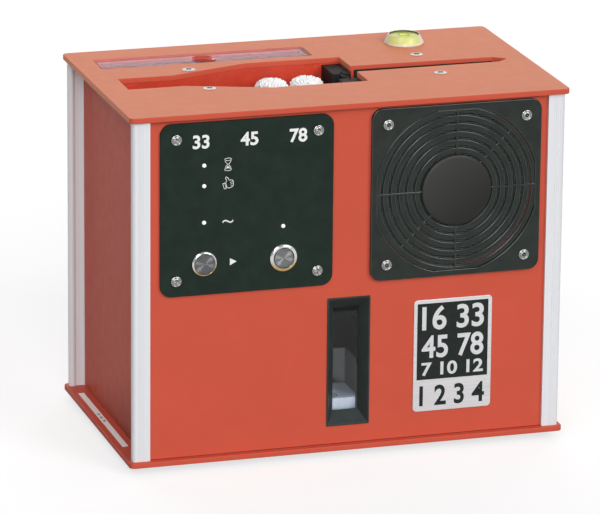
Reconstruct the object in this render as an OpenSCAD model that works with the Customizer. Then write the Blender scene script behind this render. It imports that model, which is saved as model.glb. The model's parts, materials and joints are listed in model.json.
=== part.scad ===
// Record cleaning machine: a bench unit that washes a disc with rotating drums in a
// narrow tub, lifts the water from a reservoir in the base and dries the disc by fans.
// Millimetres. Origin under the middle of the feet, +Z up, the controls face -Y.

/* [Overall] */
// Width of the top and base plates
plate_w = 330; // [300:1:360]
// Depth of the top and base plates
plate_d = 195; // [176:1:220]
// Height from the table to the top face
body_h = 267; // [240:1:300]
// Thickness of the top and base plates
plate_t = 4; // [3.5:0.5:5]
// Corner radius of the plates
plate_r = 4; // [1:0.5:8]

/* [Feet] */
// Height of a rubber foot
foot_h = 6; // [4:0.5:12]
// Diameter of a rubber foot
foot_d = 18; // [12:1:26]
// Foot centre to the plate's edges
foot_inset = 30; // [22:1:45]

/* [Corner posts] */
// Plate's front edge to the post's face
post_gap_front = 3.1; // [2:0.1:5]
// Plate's side edge to the post's outer side
post_gap_side = 2.5; // [1:0.1:4]
// Width of the bright face of a post
post_face_w = 13; // [12:0.5:16]
// Thickness of a post's face strip
post_flange_t = 4.7; // [4:0.1:6]
// Radius of a post's outer corner
post_r = 3; // [0.5:0.5:4]
// Side of the hidden square core of a post
post_core = 8.4; // [7:0.1:8.8]
// Bore along a post's core
post_bore_d = 4.2; // [3:0.1:5]

/* [Panels] */
// Thickness of the sheet panels
panel_t = 2; // [1.5:0.5:2.5]
// Post face to the front panel's face
panel_set = 2.2; // [1.6:0.1:2.6]
// Post's outer side to the side panel's face
side_set = 11.6; // [11:0.1:12.4]

/* [Record slot] */
// Plate's left edge to the slot's left end
slot_inset_left = 20.4; // [19:0.1:26]
// Plate's right edge to the slot's tip
slot_inset_right = 16.6; // [16.5:0.1:24]
// Clearance between the disc's rim and each end of the slot
slot_gap = 1.4; // [0.5:0.1:3]
// Disc centre above the top face when it is in the slot
record_lift = 40; // [36:1:46]
// Plane of the disc in Y
record_y = -2; // [-4:0.5:2]
// Slot width at its left end
slot_left_w = 30.6; // [26:0.2:34]
// Slot width over the drums
slot_wide_w = 71.4; // [68:0.2:74]
// Slot width where the disc dries
slot_right_w = 16; // [12:0.2:18]
// Length of the straight left end
slot_neck = 41.7; // [36:0.1:46]
// Length of the flare
slot_flare = 60; // [50:1:62]
// Length of the wide middle
slot_wide = 73; // [71:1:80]
// Length of the pointed right tip
slot_tip = 8.4; // [4:0.2:12]

/* [Tub and duct] */
// Wall thickness of the tub and the duct
tub_wall = 2.2; // [1.6:0.2:3]
// Tub wall behind the slot's edge
tub_lip = 0.5; // [0.2:0.1:1]
// Depth from the top plate to the tub's underside
tub_depth = 120; // [116:1:126]
// Thickness of the tub's floor
tub_floor = 3; // [2.5:0.5:4]
// Width of the flange under the top plate
flange_w = 7; // [6:0.5:8]
// Thickness of the flange
flange_t = 2; // [1.5:0.5:3]
// Number of air slots in each duct wall
vent_n = 5; // [3:1:6]
// Width of an air slot
vent_w = 4; // [2:0.5:5]

/* [Top screws] */
// Left screw pair from the start of the slot's flare
top_screw_left = 15.4; // [14:0.1:17]
// Right screw pair from the end of the slot's wide middle
top_screw_right = 57.9; // [50:0.1:66]
// Screws' distance from the disc plane
top_screw_dy = 28; // [27:0.5:29]
// Head diameter of a top screw
top_head_d = 9.5; // [8:0.5:10]
// Thread diameter of a top screw
top_thread_d = 5; // [4:0.5:6]

/* [Drums] */
// Diameter of a microfibre drum
drum_d = 26; // [24:0.5:26]
// Distance between neighbouring drums in X
drum_pitch = 27; // [26.5:0.1:28]
// Middle of the four drums from the start of the slot's wide middle
drum_set = 28.3; // [27.6:0.1:30]
// Drum top below the top face
drum_drop = 7.5; // [5:0.5:12]
// Length of a drum
drum_len = 99; // [90:1:102]
// Diameter of a drum spindle
spindle_d = 8; // [6:0.5:9]
// Module of the drum gears
gear_m = 1; // [1:0.01:1.02]
// Face width of the gears
gear_w = 6; // [4:0.5:7]

/* [Disc rollers] */
// Angle of a roller from straight below the disc centre
roller_angle = 48; // [46:0.5:51]
// Diameter of a rubber roller
roller_d = 16; // [14:0.5:18]
// Diameter of a roller's shaft
roller_shaft_d = 6; // [4:0.5:7]
// Side gap between a roller and its walls
roller_gap = 3; // [1.5:0.5:4]

/* [Wipers] */
// Length of a wiper block along the disc
wiper_len = 14; // [10:0.5:15]
// Gap between a block and the disc plane
wiper_gap = 7; // [5:0.5:9]
// Thickness of a rubber lip
lip_t = 1.6; // [1:0.2:2.4]
// Half of the opening between the lips
lip_gap = 1.2; // [0.8:0.1:1.6]

/* [Lid and filter] */
// Lid recess's right end to the rear fan
lid_fan_gap = 6.8; // [4:0.1:12]
// Width of the clear lid
lid_w = 27; // [25:0.5:28]
// Thickness of the clear lid
lid_t = 2.5; // [2:0.25:3]
// Plate's left edge to the lid recess
lid_inset_x = 16.8; // [16.5:0.1:20]
// Slot's rear edge to the lid recess
lid_slot_gap = 10.8; // [9:0.1:14]
// Width of the ledge that carries the lid
lid_ledge = 3; // [2:0.5:4]
// Diameter of the finger hole
finger_d = 18; // [14:0.5:19]
// Depth of the filter trough below the top plate
trough_depth = 54; // [40:1:55]
// Gap between the filter block and the top plate
filter_gap = 1.2; // [0.6:0.2:6]

/* [Control plate] */
// Gap between the control plate and the fan guard
face_gap = 28.5; // [26:0.1:34]
// Height of the control plate
ctrl_h = 128; // [126:0.5:130]
// Thickness of the control plate
ctrl_t = 2; // [1:0.5:3]
// Corner radius of the control plate
ctrl_r = 8.5; // [4:0.5:12]
// Post face to the control plate's edge
ctrl_inset = 7.4; // [6:0.1:9]
// Top plate to the control plate's edge
ctrl_drop = 2.9; // [1:0.1:5]
// Plate's edges to its screws
ctrl_screw_inset = 11.7; // [10:0.1:13]
// Head diameter of a plate screw
plate_head_d = 8; // [6.5:0.5:9]
// Thread diameter of a plate screw
plate_thread_d = 4; // [3:0.5:4]
// Diameter of an indicator lamp
lamp_d = 3; // [2:0.5:4]

/* [Push buttons] */
// Height of the button row above the plate's lower edge
button_z = 23.2; // [20:0.1:26]
// Start button from the plate's left edge
start_x = 32.7; // [30:0.1:36]
// Power button from the plate's right edge
power_x = 37; // [34:0.1:40]
// Outer diameter of the start button's ring
start_ring_d = 18.7; // [18.5:0.1:20]
// Outer diameter of the power button's ring
power_ring_d = 20.7; // [19:0.1:22]
// Diameter of the start button's cap
start_cap_d = 15.6; // [14:0.1:15.8]
// Diameter of the power button's cap
power_cap_d = 14.4; // [13:0.1:15]
// Travel of a button
button_travel = 1.5; // [1:0.1:2]
// Diameter of a switch barrel
barrel_d = 17; // [16.6:0.1:18]
// Depth of a switch behind the front panel
switch_depth = 26; // [20:1:32]

/* [Fans] */
// Thickness of a fan guard
guard_t = 3; // [2:0.5:4]
// Post face to the guard's edge
guard_inset = 5.5; // [3:0.1:7]
// Top plate to the guard's edge
guard_drop = 2.1; // [1:0.1:4]
// Diameter of the closed middle of a guard
guard_hub_d = 52.7; // [46:0.1:54]
// Distance between the guard's rings
ring_pitch = 6.05; // [5.8:0.05:6.1]
// Width of a guard ring
ring_w = 3.9; // [3:0.1:4.4]
// Number of guard rings
ring_n = 6; // [4:1:6]
// Width of a guard spoke
spoke_w = 1.3; // [0.8:0.1:2.5]
// Guard's edge to the side of the fan frame
fan_lap = 4.4; // [3:0.1:6]
// Depth of a fan frame
fan_t = 25; // [20:1:38]
// Thinnest wall of a fan frame
fan_rim = 2.5; // [2:0.5:4]
// Fan frame's sides to its screws
fan_screw_inset = 7.5; // [7:0.5:8]
// Number of fan blades
blade_n = 7; // [5:1:9]

/* [Window] */
// Outer width of the window bezel
win_w = 32.6; // [30:0.1:36]
// Base plate to the bezel's lower edge
win_gap_low = 13.75; // [10:0.25:20]
// Bezel's upper edge below the control plate's lower edge
win_gap_top = 10.85; // [8:0.05:16]
// Flat rim of the bezel
win_rim = 2.6; // [2:0.1:3.5]
// Width of the bezel's slope at the sides
win_slope_x = 4.1; // [3:0.1:5]
// Width of the bezel's slope above and below
win_slope_z = 6.4; // [4:0.1:8]
// How far the bezel stands out of the panel
win_proud = 0.8; // [0.5:0.1:1.5]
// Depth of the bezel behind the panel's face
win_depth = 7.2; // [5:0.1:9]
// Thickness of the clear pane
pane_t = 2; // [1.5:0.5:3]

/* [Badge and label] */
// Width of the badge
badge_w = 59.9; // [50:0.1:70]
// Base plate to the badge's lower edge
badge_gap_low = 19.1; // [12:0.1:26]
// Badge's upper edge to the fan guard
badge_gap_top = 17.8; // [12:0.1:26]
// Thickness of the badge
badge_t = 1; // [0.5:0.1:2]
// Length of the label strip on the base plate
label_len = 128; // [100:1:150]
// Width of the label strip
label_w = 4.4; // [3:0.1:6]

/* [Reservoir] */
// Reservoir's cover to the drum motor
tank_room = 4; // [3:0.5:12]
// Wall thickness of the reservoir
tank_wall = 3; // [2:0.5:4]
// Gap between the reservoir and the side panels
tank_gap = 1.5; // [1:0.5:4]
// Width of the level float
float_w = 25; // [22:0.5:26]
// Depth of the level float
float_d = 36; // [30:1:38]
// Height of the level float
float_h = 10; // [8:0.5:12]
// Lowest place of the float above the table
float_z = 30.5; // [28:0.5:32]
// Reservoir's rim to the top of the float's guide
guide_drop = 25; // [20:1:30]

/* [Spirit level] */
// Base diameter of the spirit level
level_d = 30; // [26:0.5:34]
// Top diameter of the spirit level
level_top_d = 23.6; // [20:0.2:25]
// Height of the spirit level
level_h = 7; // [6:0.5:9]
// Spirit level from the plate's right edge
level_inset_x = 74.8; // [70:0.1:80]
// Spirit level from the plate's rear edge
level_inset_y = 34.5; // [30:0.1:36]

/* [Hidden] */

$fn = 64;
// Overrun of a cut past the face it opens
cut = 1;
// Depth by which joined shapes run into each other
lap = 0.01;
// Radial clearance of a turning shaft in its bore
run_gap = 0.06;
// Clearance around a piece that lifts out
lift_gap = 0.3;
// Radial clearance of a screw in a sheet, and of a part that is set in one
hole_gap = 0.2;
fit_gap = 0.1;

// Levels of the plates
base_z0 = foot_h;
base_z1 = base_z0 + plate_t;
top_z1 = body_h;
top_z0 = top_z1 - plate_t;
wall_h = top_z0 - base_z1;

// Posts and panels
post_x = plate_w / 2 - post_gap_side;
post_y = plate_d / 2 - post_gap_front;
post_in_x = post_x - post_face_w;
post_in_y = post_y - post_flange_t;
panel_y = post_y - panel_set;
panel_in_y = panel_y - panel_t;
side_x = post_x - side_set;
side_in_x = side_x - panel_t;
neck_t = 2.6;
neck_lap = 1;
neck_lip = 1.5;
side_end_y = panel_in_y - neck_t;
core_x = side_in_x - post_core / 2;
core_y = panel_in_y - post_core / 2 - neck_lap;
line_d = 0.5;
line_pitch = 1.6;
line_n = 3;
line_set = 1.2;

// Screws up through the base plate into the posts
base_head_d = 8;
base_head_h = 2;
base_head_sink = 0.2;
base_head_gap = 0.3;
base_thread_gap = 0.05;
base_thread_len = 12;
base_socket_d = 3;
base_socket_depth = 1.4;

// Control plate and what it carries
face_w = (2 * post_in_x - ctrl_inset - guard_inset - face_gap) / 2;
ctrl_w = face_w;
ctrl_x0 = -post_in_x + ctrl_inset;
ctrl_z1 = top_z0 - ctrl_drop;
ctrl_z0 = ctrl_z1 - ctrl_h;
ctrl_x = ctrl_x0 + ctrl_w / 2;
ctrl_z = ctrl_z1 - ctrl_h / 2;
ctrl_face_y = -panel_y - ctrl_t;
plate_head_h = 2;
plate_grip = 4;

// Push buttons
button_h = ctrl_z0 + button_z;
start_at = [ctrl_x0 + start_x, button_h];
power_at = [ctrl_x0 + ctrl_w - power_x, button_h];
ring_t = 1.6;
ring_edge_t = 0.7;
ring_bevel = 0.8;
nut_over = 5;
nut_t = 3;
cap_proud = 1.7;
cap_edge = 0.4;
cap_under = 2;
press_gap = 0.5;
cap_room = cap_under + button_travel + press_gap;
cap_stem_d = 9;
stem_len = 12;
stem_room = stem_len + button_travel + press_gap;

// Lamps from the plate's upper edge, in a left column and over the power button
lamp_x = 32.4;
lamp_drops = [32, 47.1, 74.2];
power_lamp_x = 37.4;
power_lamp_drop = 81.1;
lamp_places = concat([for (d = lamp_drops) [lamp_x, d]],
    [[ctrl_w - power_lamp_x, power_lamp_drop]]);
lamp_proud = 0.8;

// Circuit board behind the panel, and the parts on it from the plate's middle and top
board_set = 10;
board_y = -panel_in_y + board_set;
board_t = 1.6;
board_margin = 12;
board_drop = 6;
board_w = ctrl_w - 2 * board_margin;
board_h = 84;
stud_d = 6;
stud_inset = 6;
chip_w = 14;
chip_t = 4;
chip_x = -23;
chip_drop = 33;
plug_w = 26;
plug_h = 12;
plug_t = 7;
plug_x = 17;
plug_drop = 44;
can_d = 9;
can_len = 12;
can_x = -8;
can_drop = 22;

// Fan guards
guard_w = face_w;
guard_x = post_in_x - guard_inset - guard_w / 2;
guard_z = top_z0 - guard_drop - guard_w / 2;
guard_r = 8;
guard_rim_gap = 0.9;
hub_gap = 1.3;
hub_proud = 2;
grid_set = 0.6;
grid_t = 1.8;
cross_t = 2.7;
brace_t = 1.4;
spoke_lap = 0.5;
guard_grip = 8;

// Fans
fan_w = guard_w - 2 * fan_lap;
fan_bore = fan_w - 2 * fan_rim;
fan_pitch = fan_w - 2 * fan_screw_inset;
fan_r = 6;
fan_x0 = guard_x - fan_w / 2;
panel_hole_over = 1;
panel_hole_d = fan_bore + panel_hole_over;
arm_n = 3;
arm_w = 5;
arm_t = 3;
rotor_hub_d = 40;
rotor_under = 1;
rotor_hub_t = 4;
hub_run = 0.5;
hub_front = 3;

blade_t = 1.5;
blade_w = 20;
blade_shift = 1;
blade_pitch = 38;
blade_root = 4;
blade_tip_gap = 4.5;
fan_pin_d = 4;
fan_pin_end = 1;
pin_end_gap = 0.4;

// Slot outline along X and its half widths
slot_x0 = -plate_w / 2 + slot_inset_left;
slot_x1 = plate_w / 2 - slot_inset_right;
slot_xn = slot_x0 + slot_neck;
slot_xf = slot_xn + slot_flare;
slot_xs = slot_xf + slot_wide;
slot_xt = slot_x1 - slot_tip;
slot_end_share = 0.86;
tip_w = 1;

// Largest disc that the slot takes
record_x = (slot_x0 + slot_x1) / 2;
record_z = top_z1 + record_lift;
record_r = norm([(slot_x1 - slot_x0) / 2 - slot_gap, record_lift]);

// Tub and duct
tub_z0 = top_z0 - tub_depth;
tub_z1 = tub_z0 + tub_floor;
tub_out = tub_lip + tub_wall;
tub_end = slot_xs + tub_out;
duct_gap = 0.4;
duct_x1 = side_in_x - duct_gap;
boss_h = 6;
boss_root = 2;
boss_wall = 2;
duct_tab_w = 28;
duct_tab_over = 6;
vent_set = 6;
vent_low = 16;
vent_top = 22;

// Screws in the top plate
top_screw_x0 = slot_xn + top_screw_left;
top_screw_x1 = slot_xs + top_screw_right;
top_head_h = 2.4;

// Drums and their gears
drum_x = slot_xf + drum_set;
pinion_teeth = 16;
drum_teeth = 24;
gear_c = gear_m * (pinion_teeth + drum_teeth) / 2;
drum_dy = sqrt(pow(gear_c, 2) - pow(drum_pitch / 2, 2));
drum_z1 = top_z1 - drum_drop;
drum_z0 = drum_z1 - drum_len;
drum_crown = 6;
drum_cap = 5;
drum_places = [[-1, -1], [1, -1], [-1, 1], [1, 1]];
pressure_angle = 20;
addendum = 0.95;
dedendum = 1.25;
backlash = 0.14;
gear_gap = 4;
gear_z1 = tub_z0 - gear_gap;
gear_z0 = gear_z1 - gear_w;
collar_over = 4;
collar_gap = 0.3;
seat_t = 2;
seat_in = 6;
spindle_top = 1;

// Drum motor, hung from the tub on four pillars
motor_plate_gap = 2;
motor_plate_t = 2;
motor_plate_z1 = gear_z0 - motor_plate_gap;
drum_motor_d = 30;
drum_motor_h = 30;
drum_motor_z0 = motor_plate_z1 - motor_plate_t - drum_motor_h;
pillar_d = 6;
pillar_set = 32;
pinion_shaft_d = 5;
pinion_shaft_in = 12;
shaft_end_gap = 1;

// Rollers under the disc
roller_c = record_r + roller_d / 2;
roller_dx = roller_c * sin(roller_angle);
roller_z = record_z - roller_c * cos(roller_angle);
idler_gap = 1.5;
shaft_over = 2;
drive_motor_d = 24;
drive_motor_len = 27;
drive_plate_t = 3;
drive_plate_over = 5;
drive_shaft_in = 12;

// Lid, trough and filter
lid_x0 = -plate_w / 2 + lid_inset_x;
lid_len = fan_x0 - lid_fan_gap - lid_x0;
lid_x = lid_x0 + lid_len / 2;
lid_y = record_y + slot_wide_w / 2 + lid_slot_gap + lid_w / 2;
lid_z0 = top_z1 - lid_t;
trough_wall = 1.8;
filter_side_gap = 0.5;
filter_h = trough_depth - trough_wall - filter_gap;
hatch_len = lid_len - 2 * lid_ledge;
hatch_w = lid_w - 2 * lid_ledge;
finger_rim = 1.3;
finger_y = lid_y - lid_w / 2 + finger_d / 2 + finger_rim;

// Wipers
wiper_groove = 4;
wiper_top_gap = 1;
lip_fit = 0.05;
lip_end_gap = 1;

// Window, pane and badge
win_z0 = base_z1 + win_gap_low;
win_z1 = ctrl_z0 - win_gap_top;
win_h = win_z1 - win_z0;
win_z = (win_z0 + win_z1) / 2;
win_face_y = -panel_y - win_proud;
win_back_y = -panel_y + win_depth;
win_lap = 1.5;
win_r = 1;
win_in_w = win_w - 2 * win_rim - 2 * win_slope_x;
win_in_h = win_h - 2 * win_rim - 2 * win_slope_z;
pane_lap = 3;
pane_back_y = win_back_y + pane_t;
badge_z0 = base_z1 + badge_gap_low;
badge_z1 = guard_z - guard_w / 2 - badge_gap_top;
badge_r = 3;
label_y = 6;
label_inset = 2;
label_t = 0.3;

// Reservoir, its cover and the float's guide
cover_t = 3;
tank_z1 = drum_motor_z0 - tank_room - cover_t;
tank_y0 = pane_back_y;
tank_y1 = panel_in_y - tank_gap;
tank_x1 = side_in_x - tank_gap;
tank_floor_z = base_z1 + tank_wall;
tank_notch = post_core + 3;
guide_gap = 0.5;
guide_wall = 2;
guide_seat = 2;
guide_w = float_w + 2 * guide_gap;
guide_d = float_d + 2 * guide_gap;
float_hold = 4.5;
float_rise = tank_z1 - guide_drop - float_hold - float_z;
guide_z1 = float_z + float_rise + float_hold;
float_dimple_d = 5;
float_dimple = 3;
float_rest_gap = 0.2;
inflow_w = 10;
inflow_set = 6;
cover_gap = 3;
pipe_gap = 0.3;

// Pump, riser, drain and transducer
pump_w = 36;
pump_d = 30;
pump_h = 38;
pump_gap = 8.4;
pump_x = -tank_x1 + tank_wall + pump_gap + pump_w / 2;
riser_d = 8;
riser_bore = 3.8;
drain_set = 27.2;
drain_x = tub_end + drain_set;
drain_w = 24;
drain_h = 20;
drain_pipe_d = 10;
drain_pipe_in = 6;
drain_bore = 3.8;
transducer_d = 34;
transducer_gap = 9;
transducer_x = pump_x + riser_d / 2 + transducer_gap + transducer_d / 2;
transducer_face_t = 8;
transducer_neck_d = 26;
transducer_neck_t = 12;
transducer_back_d = 30;
transducer_back_t = 10;

// Spirit level
level_x = plate_w / 2 - level_inset_x;
level_y = plate_d / 2 - level_inset_y;
level_wall = 2;
level_cap_t = 1;
bubble_d = 7;
bubble_t = 1;

// Power inlet on the rear panel
inlet_set = 31.5;
inlet_rise = 17;
inlet_x = -post_in_x + inlet_set;
inlet_z = tank_z1 + cover_t + inlet_rise;
inlet_d = 12;
inlet_flange = 2;
inlet_proud = 1.5;
inlet_bore = 5.6;
inlet_pin = 2.1;
inlet_depth = 11;
inlet_back = 2;

red = "#c4503f";
dark_red = "#9a3a30";
silver = "#d8dce0";
black = "#28302c";

// Plain shapes

module round_rect(w, d, r) {
    square([w - 2 * r, d], center = true);
    square([w, d - 2 * r], center = true);
    for (sx = [-1, 1], sy = [-1, 1])
        translate([sx * (w / 2 - r), sy * (d / 2 - r)]) circle(r = r);
}

// An outline drawn in X and Z, extruded along Y from y0 to y1
module upright(y0, y1) {
    translate([0, y1, 0]) rotate([90, 0, 0]) linear_extrude(height = y1 - y0) children();
}

// A round bar along Y from y0 to y1
module bar_y(d, y0, y1) {
    translate([0, y1, 0]) rotate([90, 0, 0]) cylinder(d = d, h = y1 - y0);
}

// A round bar along Z from z0 to z1
module bar_z(d, z0, z1) {
    translate([0, 0, z0]) cylinder(d = d, h = z1 - z0);
}

// Hole along Y through the front panel and the plate on it
module front_hole(d) {
    bar_y(d, ctrl_face_y - cut, -panel_in_y + cut);
}

module corners(dx, dy) {
    for (sx = [-1, 1], sy = [-1, 1]) translate([sx * dx, sy * dy, 0]) children();
}

// Button head screw standing on z = 0, its thread hangs below. The shares are of the head
module button_screw(head_d, head_h, thread_d, thread_len) {
    socket_share = 0.42;
    rim_share = 0.4;
    crown_share = 0.62;
    floor_share = 0.35;
    difference() {
        union() {
            bar_z(head_d, 0, head_h * rim_share);
            translate([0, 0, head_h * rim_share])
                cylinder(d1 = head_d, d2 = head_d * crown_share, h = head_h * (1 - rim_share));
        }
        translate([0, 0, head_h * floor_share])
            cylinder(d = head_d * socket_share, h = head_h, $fn = 6);
    }
    bar_z(thread_d, -thread_len, lap);
}

// Slot shapes

function half_slot(e) = [
    [slot_x0 - e, slot_left_w / 2 + e],
    [slot_xn, slot_left_w / 2 + e],
    [slot_xf, slot_wide_w / 2 + e],
    [slot_xs + e, slot_wide_w / 2 + e]];

function half_duct(e, x, tip) = [
    [x, slot_right_w / 2 + e],
    [slot_xt, slot_right_w / 2 * slot_end_share + e],
    [tip, tip_w / 2 + e]];

function mirrored(p) = concat(p, [for (i = [len(p) - 1:-1:0]) [p[i][0], -p[i][1]]]);

module tub_outline(e) {
    translate([0, record_y]) polygon(mirrored(half_slot(e)));
}

module duct_outline(e, x, tip) {
    translate([0, record_y]) polygon(mirrored(half_duct(e, x, tip)));
}

// Gears

function inv(a) = tan(a) * 180 / PI - a;

// Outline of an involute gear with one tooth centred on the angle phase
function gear_points(z, phase) =
    let (rp = gear_m * z / 2, rb = rp * cos(pressure_angle), ra = rp + gear_m * addendum,
        rf = rp - gear_m * dedendum,
        hb = 90 / z + inv(pressure_angle) - backlash / rp * 180 / PI,
        radii = [rf, rb, rb + (ra - rb) / 3, rb + (ra - rb) * 2 / 3, ra],
        half = [for (r = radii) hb - inv(acos(min(1, rb / r)))])
    [for (k = [0:z - 1]) each concat(
        [for (i = [0:4]) let (a = phase + k * 360 / z - half[i])
            [radii[i] * cos(a), radii[i] * sin(a)]],
        [for (i = [4:-1:0]) let (a = phase + k * 360 / z + half[i])
            [radii[i] * cos(a), radii[i] * sin(a)]])];

// Phase of a drum gear that meshes with the pinion, seen from the pinion at angle t
function mesh_phase(t) =
    let (pitch_p = 360 / pinion_teeth, pitch_d = 360 / drum_teeth,
        p = t / pitch_p - floor(t / pitch_p))
    t + 180 - pitch_d * (0.5 - p);

// Housing

module base_plate() {
    color(red) difference() {
        translate([0, 0, base_z0]) linear_extrude(height = plate_t)
            round_rect(plate_w, plate_d, plate_r);
        corners(core_x, core_y) {
            bar_z(post_bore_d + 2 * base_head_gap, base_z0 - cut, base_z1 + cut);
            bar_z(base_head_d + 2 * base_head_gap, base_z0 - cut,
                base_z0 + base_head_h + base_head_sink);
        }
    }
}

module top_plate() {
    color(red) difference() {
        translate([0, 0, top_z0]) linear_extrude(height = plate_t)
            round_rect(plate_w, plate_d, plate_r);
        translate([0, 0, top_z0 - cut]) linear_extrude(height = plate_t + 2 * cut) {
            tub_outline(0);
            duct_outline(0, slot_xs - cut, slot_x1);
            translate([lid_x, lid_y]) square([hatch_len, hatch_w], center = true);
        }
        translate([lid_x, lid_y, lid_z0 + (lid_t + cut) / 2])
            cube([lid_len, lid_w, lid_t + cut], center = true);
        top_screw_places()
            bar_z(top_thread_d + 2 * hole_gap, top_z0 - cut, top_z1 + cut);
    }
}

module top_screw_pair(x) {
    for (s = [-1, 1]) translate([x, record_y + s * top_screw_dy, 0]) children();
}

module top_screw_places() {
    for (x = [top_screw_x0, top_screw_x1]) top_screw_pair(x) children();
}

module top_screws() {
    color(silver) top_screw_places() translate([0, 0, top_z1])
        button_screw(top_head_d, top_head_h, top_thread_d, plate_t + boss_h);
}

// Profile of the front right post, drawn with +X to the right and +Y outward
module post_profile() {
    difference() {
        union() {
            translate([post_in_x, post_in_y])
                square([post_face_w - post_r, post_flange_t]);
            translate([post_in_x, post_in_y])
                square([post_face_w, post_flange_t - post_r]);
            translate([post_x - post_r, post_y - post_r]) circle(r = post_r);
            translate([side_in_x - neck_lap, side_end_y])
                square([post_in_x - side_in_x + neck_lap, neck_t]);
            translate([post_in_x, side_end_y]) square([neck_lip, neck_t + neck_lap]);
            translate([side_in_x - post_core, core_y - post_core / 2 - neck_lap])
                square([post_core, post_core + 2 * neck_lap]);
        }
        translate([core_x, core_y]) circle(d = post_bore_d);
        for (i = [0:line_n - 1])
            translate([post_x - post_r - line_set - i * line_pitch, post_y])
                circle(d = line_d, $fn = 24);
    }
}

module posts(face) {
    color(silver) translate([0, 0, base_z1]) linear_extrude(height = wall_h)
        for (sx = [-1, 1]) scale([sx, face]) post_profile();
}

module front_posts() { posts(-1); }
module rear_posts() { posts(1); }

module fan_place() { translate([guard_x, 0, guard_z]) children(); }
module ctrl_place() { translate([ctrl_x, 0, ctrl_z]) children(); }
module switch_at(at) { translate([at[0], 0, at[1]]) children(); }

// The four screw places of a plate, dx and dz from its middle
module screw_places(dx, dz) {
    for (sx = [-1, 1], sz = [-1, 1]) translate([sx * dx, 0, sz * dz]) children();
}

module fan_screw_places() { screw_places(fan_pitch / 2, fan_pitch / 2) children(); }

module ctrl_screw_places() {
    ctrl_place() screw_places(ctrl_w / 2 - ctrl_screw_inset, ctrl_h / 2 - ctrl_screw_inset)
        children();
}

module front_panel() {
    color(red) difference() {
        upright(-panel_y, -panel_in_y) translate([-post_in_x, base_z1])
            square([2 * post_in_x, wall_h]);
        fan_place() {
            front_hole(panel_hole_d);
            fan_screw_places() front_hole(plate_thread_d + 2 * hole_gap);
        }
        ctrl_screw_places() front_hole(plate_thread_d + 2 * hole_gap);
        for (at = [start_at, power_at]) switch_at(at) front_hole(barrel_d + 2 * fit_gap);
        lamp_spots() front_hole(lamp_d + 2 * fit_gap);
        translate([0, -panel_y, win_z]) cube([win_w - 2 * win_lap, 2 * (panel_t + cut),
            win_h - 2 * win_lap], center = true);
    }
}

module rear_panel() {
    color(red) difference() {
        upright(panel_in_y, panel_y) translate([-post_in_x, base_z1])
            square([2 * post_in_x, wall_h]);
        fan_place() {
            bar_y(panel_hole_d, panel_in_y - cut, panel_y + cut);
            fan_screw_places()
                bar_y(plate_thread_d + 2 * hole_gap, panel_in_y - cut, panel_y + cut);
        }
        translate([inlet_x, 0, inlet_z])
            bar_y(inlet_d + 2 * fit_gap, panel_in_y - cut, panel_y + cut);
    }
}

module side_panel(s) {
    color(dark_red) translate([s * (side_x - panel_t / 2), 0, base_z1 + wall_h / 2])
        cube([panel_t, 2 * side_end_y, wall_h], center = true);
}

module left_panel() { side_panel(-1); }
module right_panel() { side_panel(1); }

module rubber_feet() {
    foot_taper = 2;
    foot_band = 1;
    color("#202020") corners(plate_w / 2 - foot_inset, plate_d / 2 - foot_inset) {
        cylinder(d1 = foot_d - foot_taper, d2 = foot_d, h = foot_h - foot_band);
        bar_z(foot_d, foot_h - foot_band, foot_h);
    }
}

module base_screws() {
    z0 = base_z0 + base_head_sink;
    color(silver) corners(core_x, core_y) difference() {
        union() {
            bar_z(base_head_d, z0, z0 + base_head_h);
            bar_z(post_bore_d - 2 * base_thread_gap, z0, base_z1 + base_thread_len);
        }
        translate([0, 0, z0 - cut])
            cylinder(d = base_socket_d, h = cut + base_socket_depth, $fn = 6);
    }
}

module label_strip() {
    color(silver) translate([-post_x + label_inset, label_y - label_len / 2, base_z1])
        cube([label_w, label_len, label_t]);
}

module badge_plate() {
    color(silver) translate([guard_x, 0, (badge_z0 + badge_z1) / 2])
        upright(-panel_y - badge_t, -panel_y) round_rect(badge_w, badge_z1 - badge_z0, badge_r);
}

// Control plate

module lamp_spots() {
    for (p = lamp_places) translate([ctrl_x0 + p[0], 0, ctrl_z1 - p[1]]) children();
}

module control_plate() {
    color(black) difference() {
        ctrl_place() upright(ctrl_face_y, -panel_y) round_rect(ctrl_w, ctrl_h, ctrl_r);
        ctrl_screw_places() front_hole(plate_thread_d + 2 * hole_gap);
        for (at = [start_at, power_at]) switch_at(at) front_hole(barrel_d + 2 * fit_gap);
        lamp_spots() front_hole(lamp_d + 2 * fit_gap);
    }
}

// Screw with its head's seat on y = 0, the head towards -Y for s = 1
module plate_screw(s, len) {
    rotate([s * 90, 0, 0]) button_screw(plate_head_d, plate_head_h, plate_thread_d, len);
}

module front_plate_screws() {
    color(silver) {
        ctrl_screw_places() translate([0, ctrl_face_y, 0])
            plate_screw(1, ctrl_t + panel_t + plate_grip);
        fan_place() fan_screw_places() translate([0, -panel_y - guard_t, 0])
            plate_screw(1, guard_t + panel_t + guard_grip);
    }
}

module indicator_lamps() {
    color("white") lamp_spots() {
        bar_y(lamp_d, ctrl_face_y, board_y);
        translate([0, ctrl_face_y, 0]) rotate([90, 0, 0]) intersection() {
            sphere(d = lamp_d);
            cylinder(d = lamp_d, h = lamp_proud);
        }
    }
}

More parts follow.
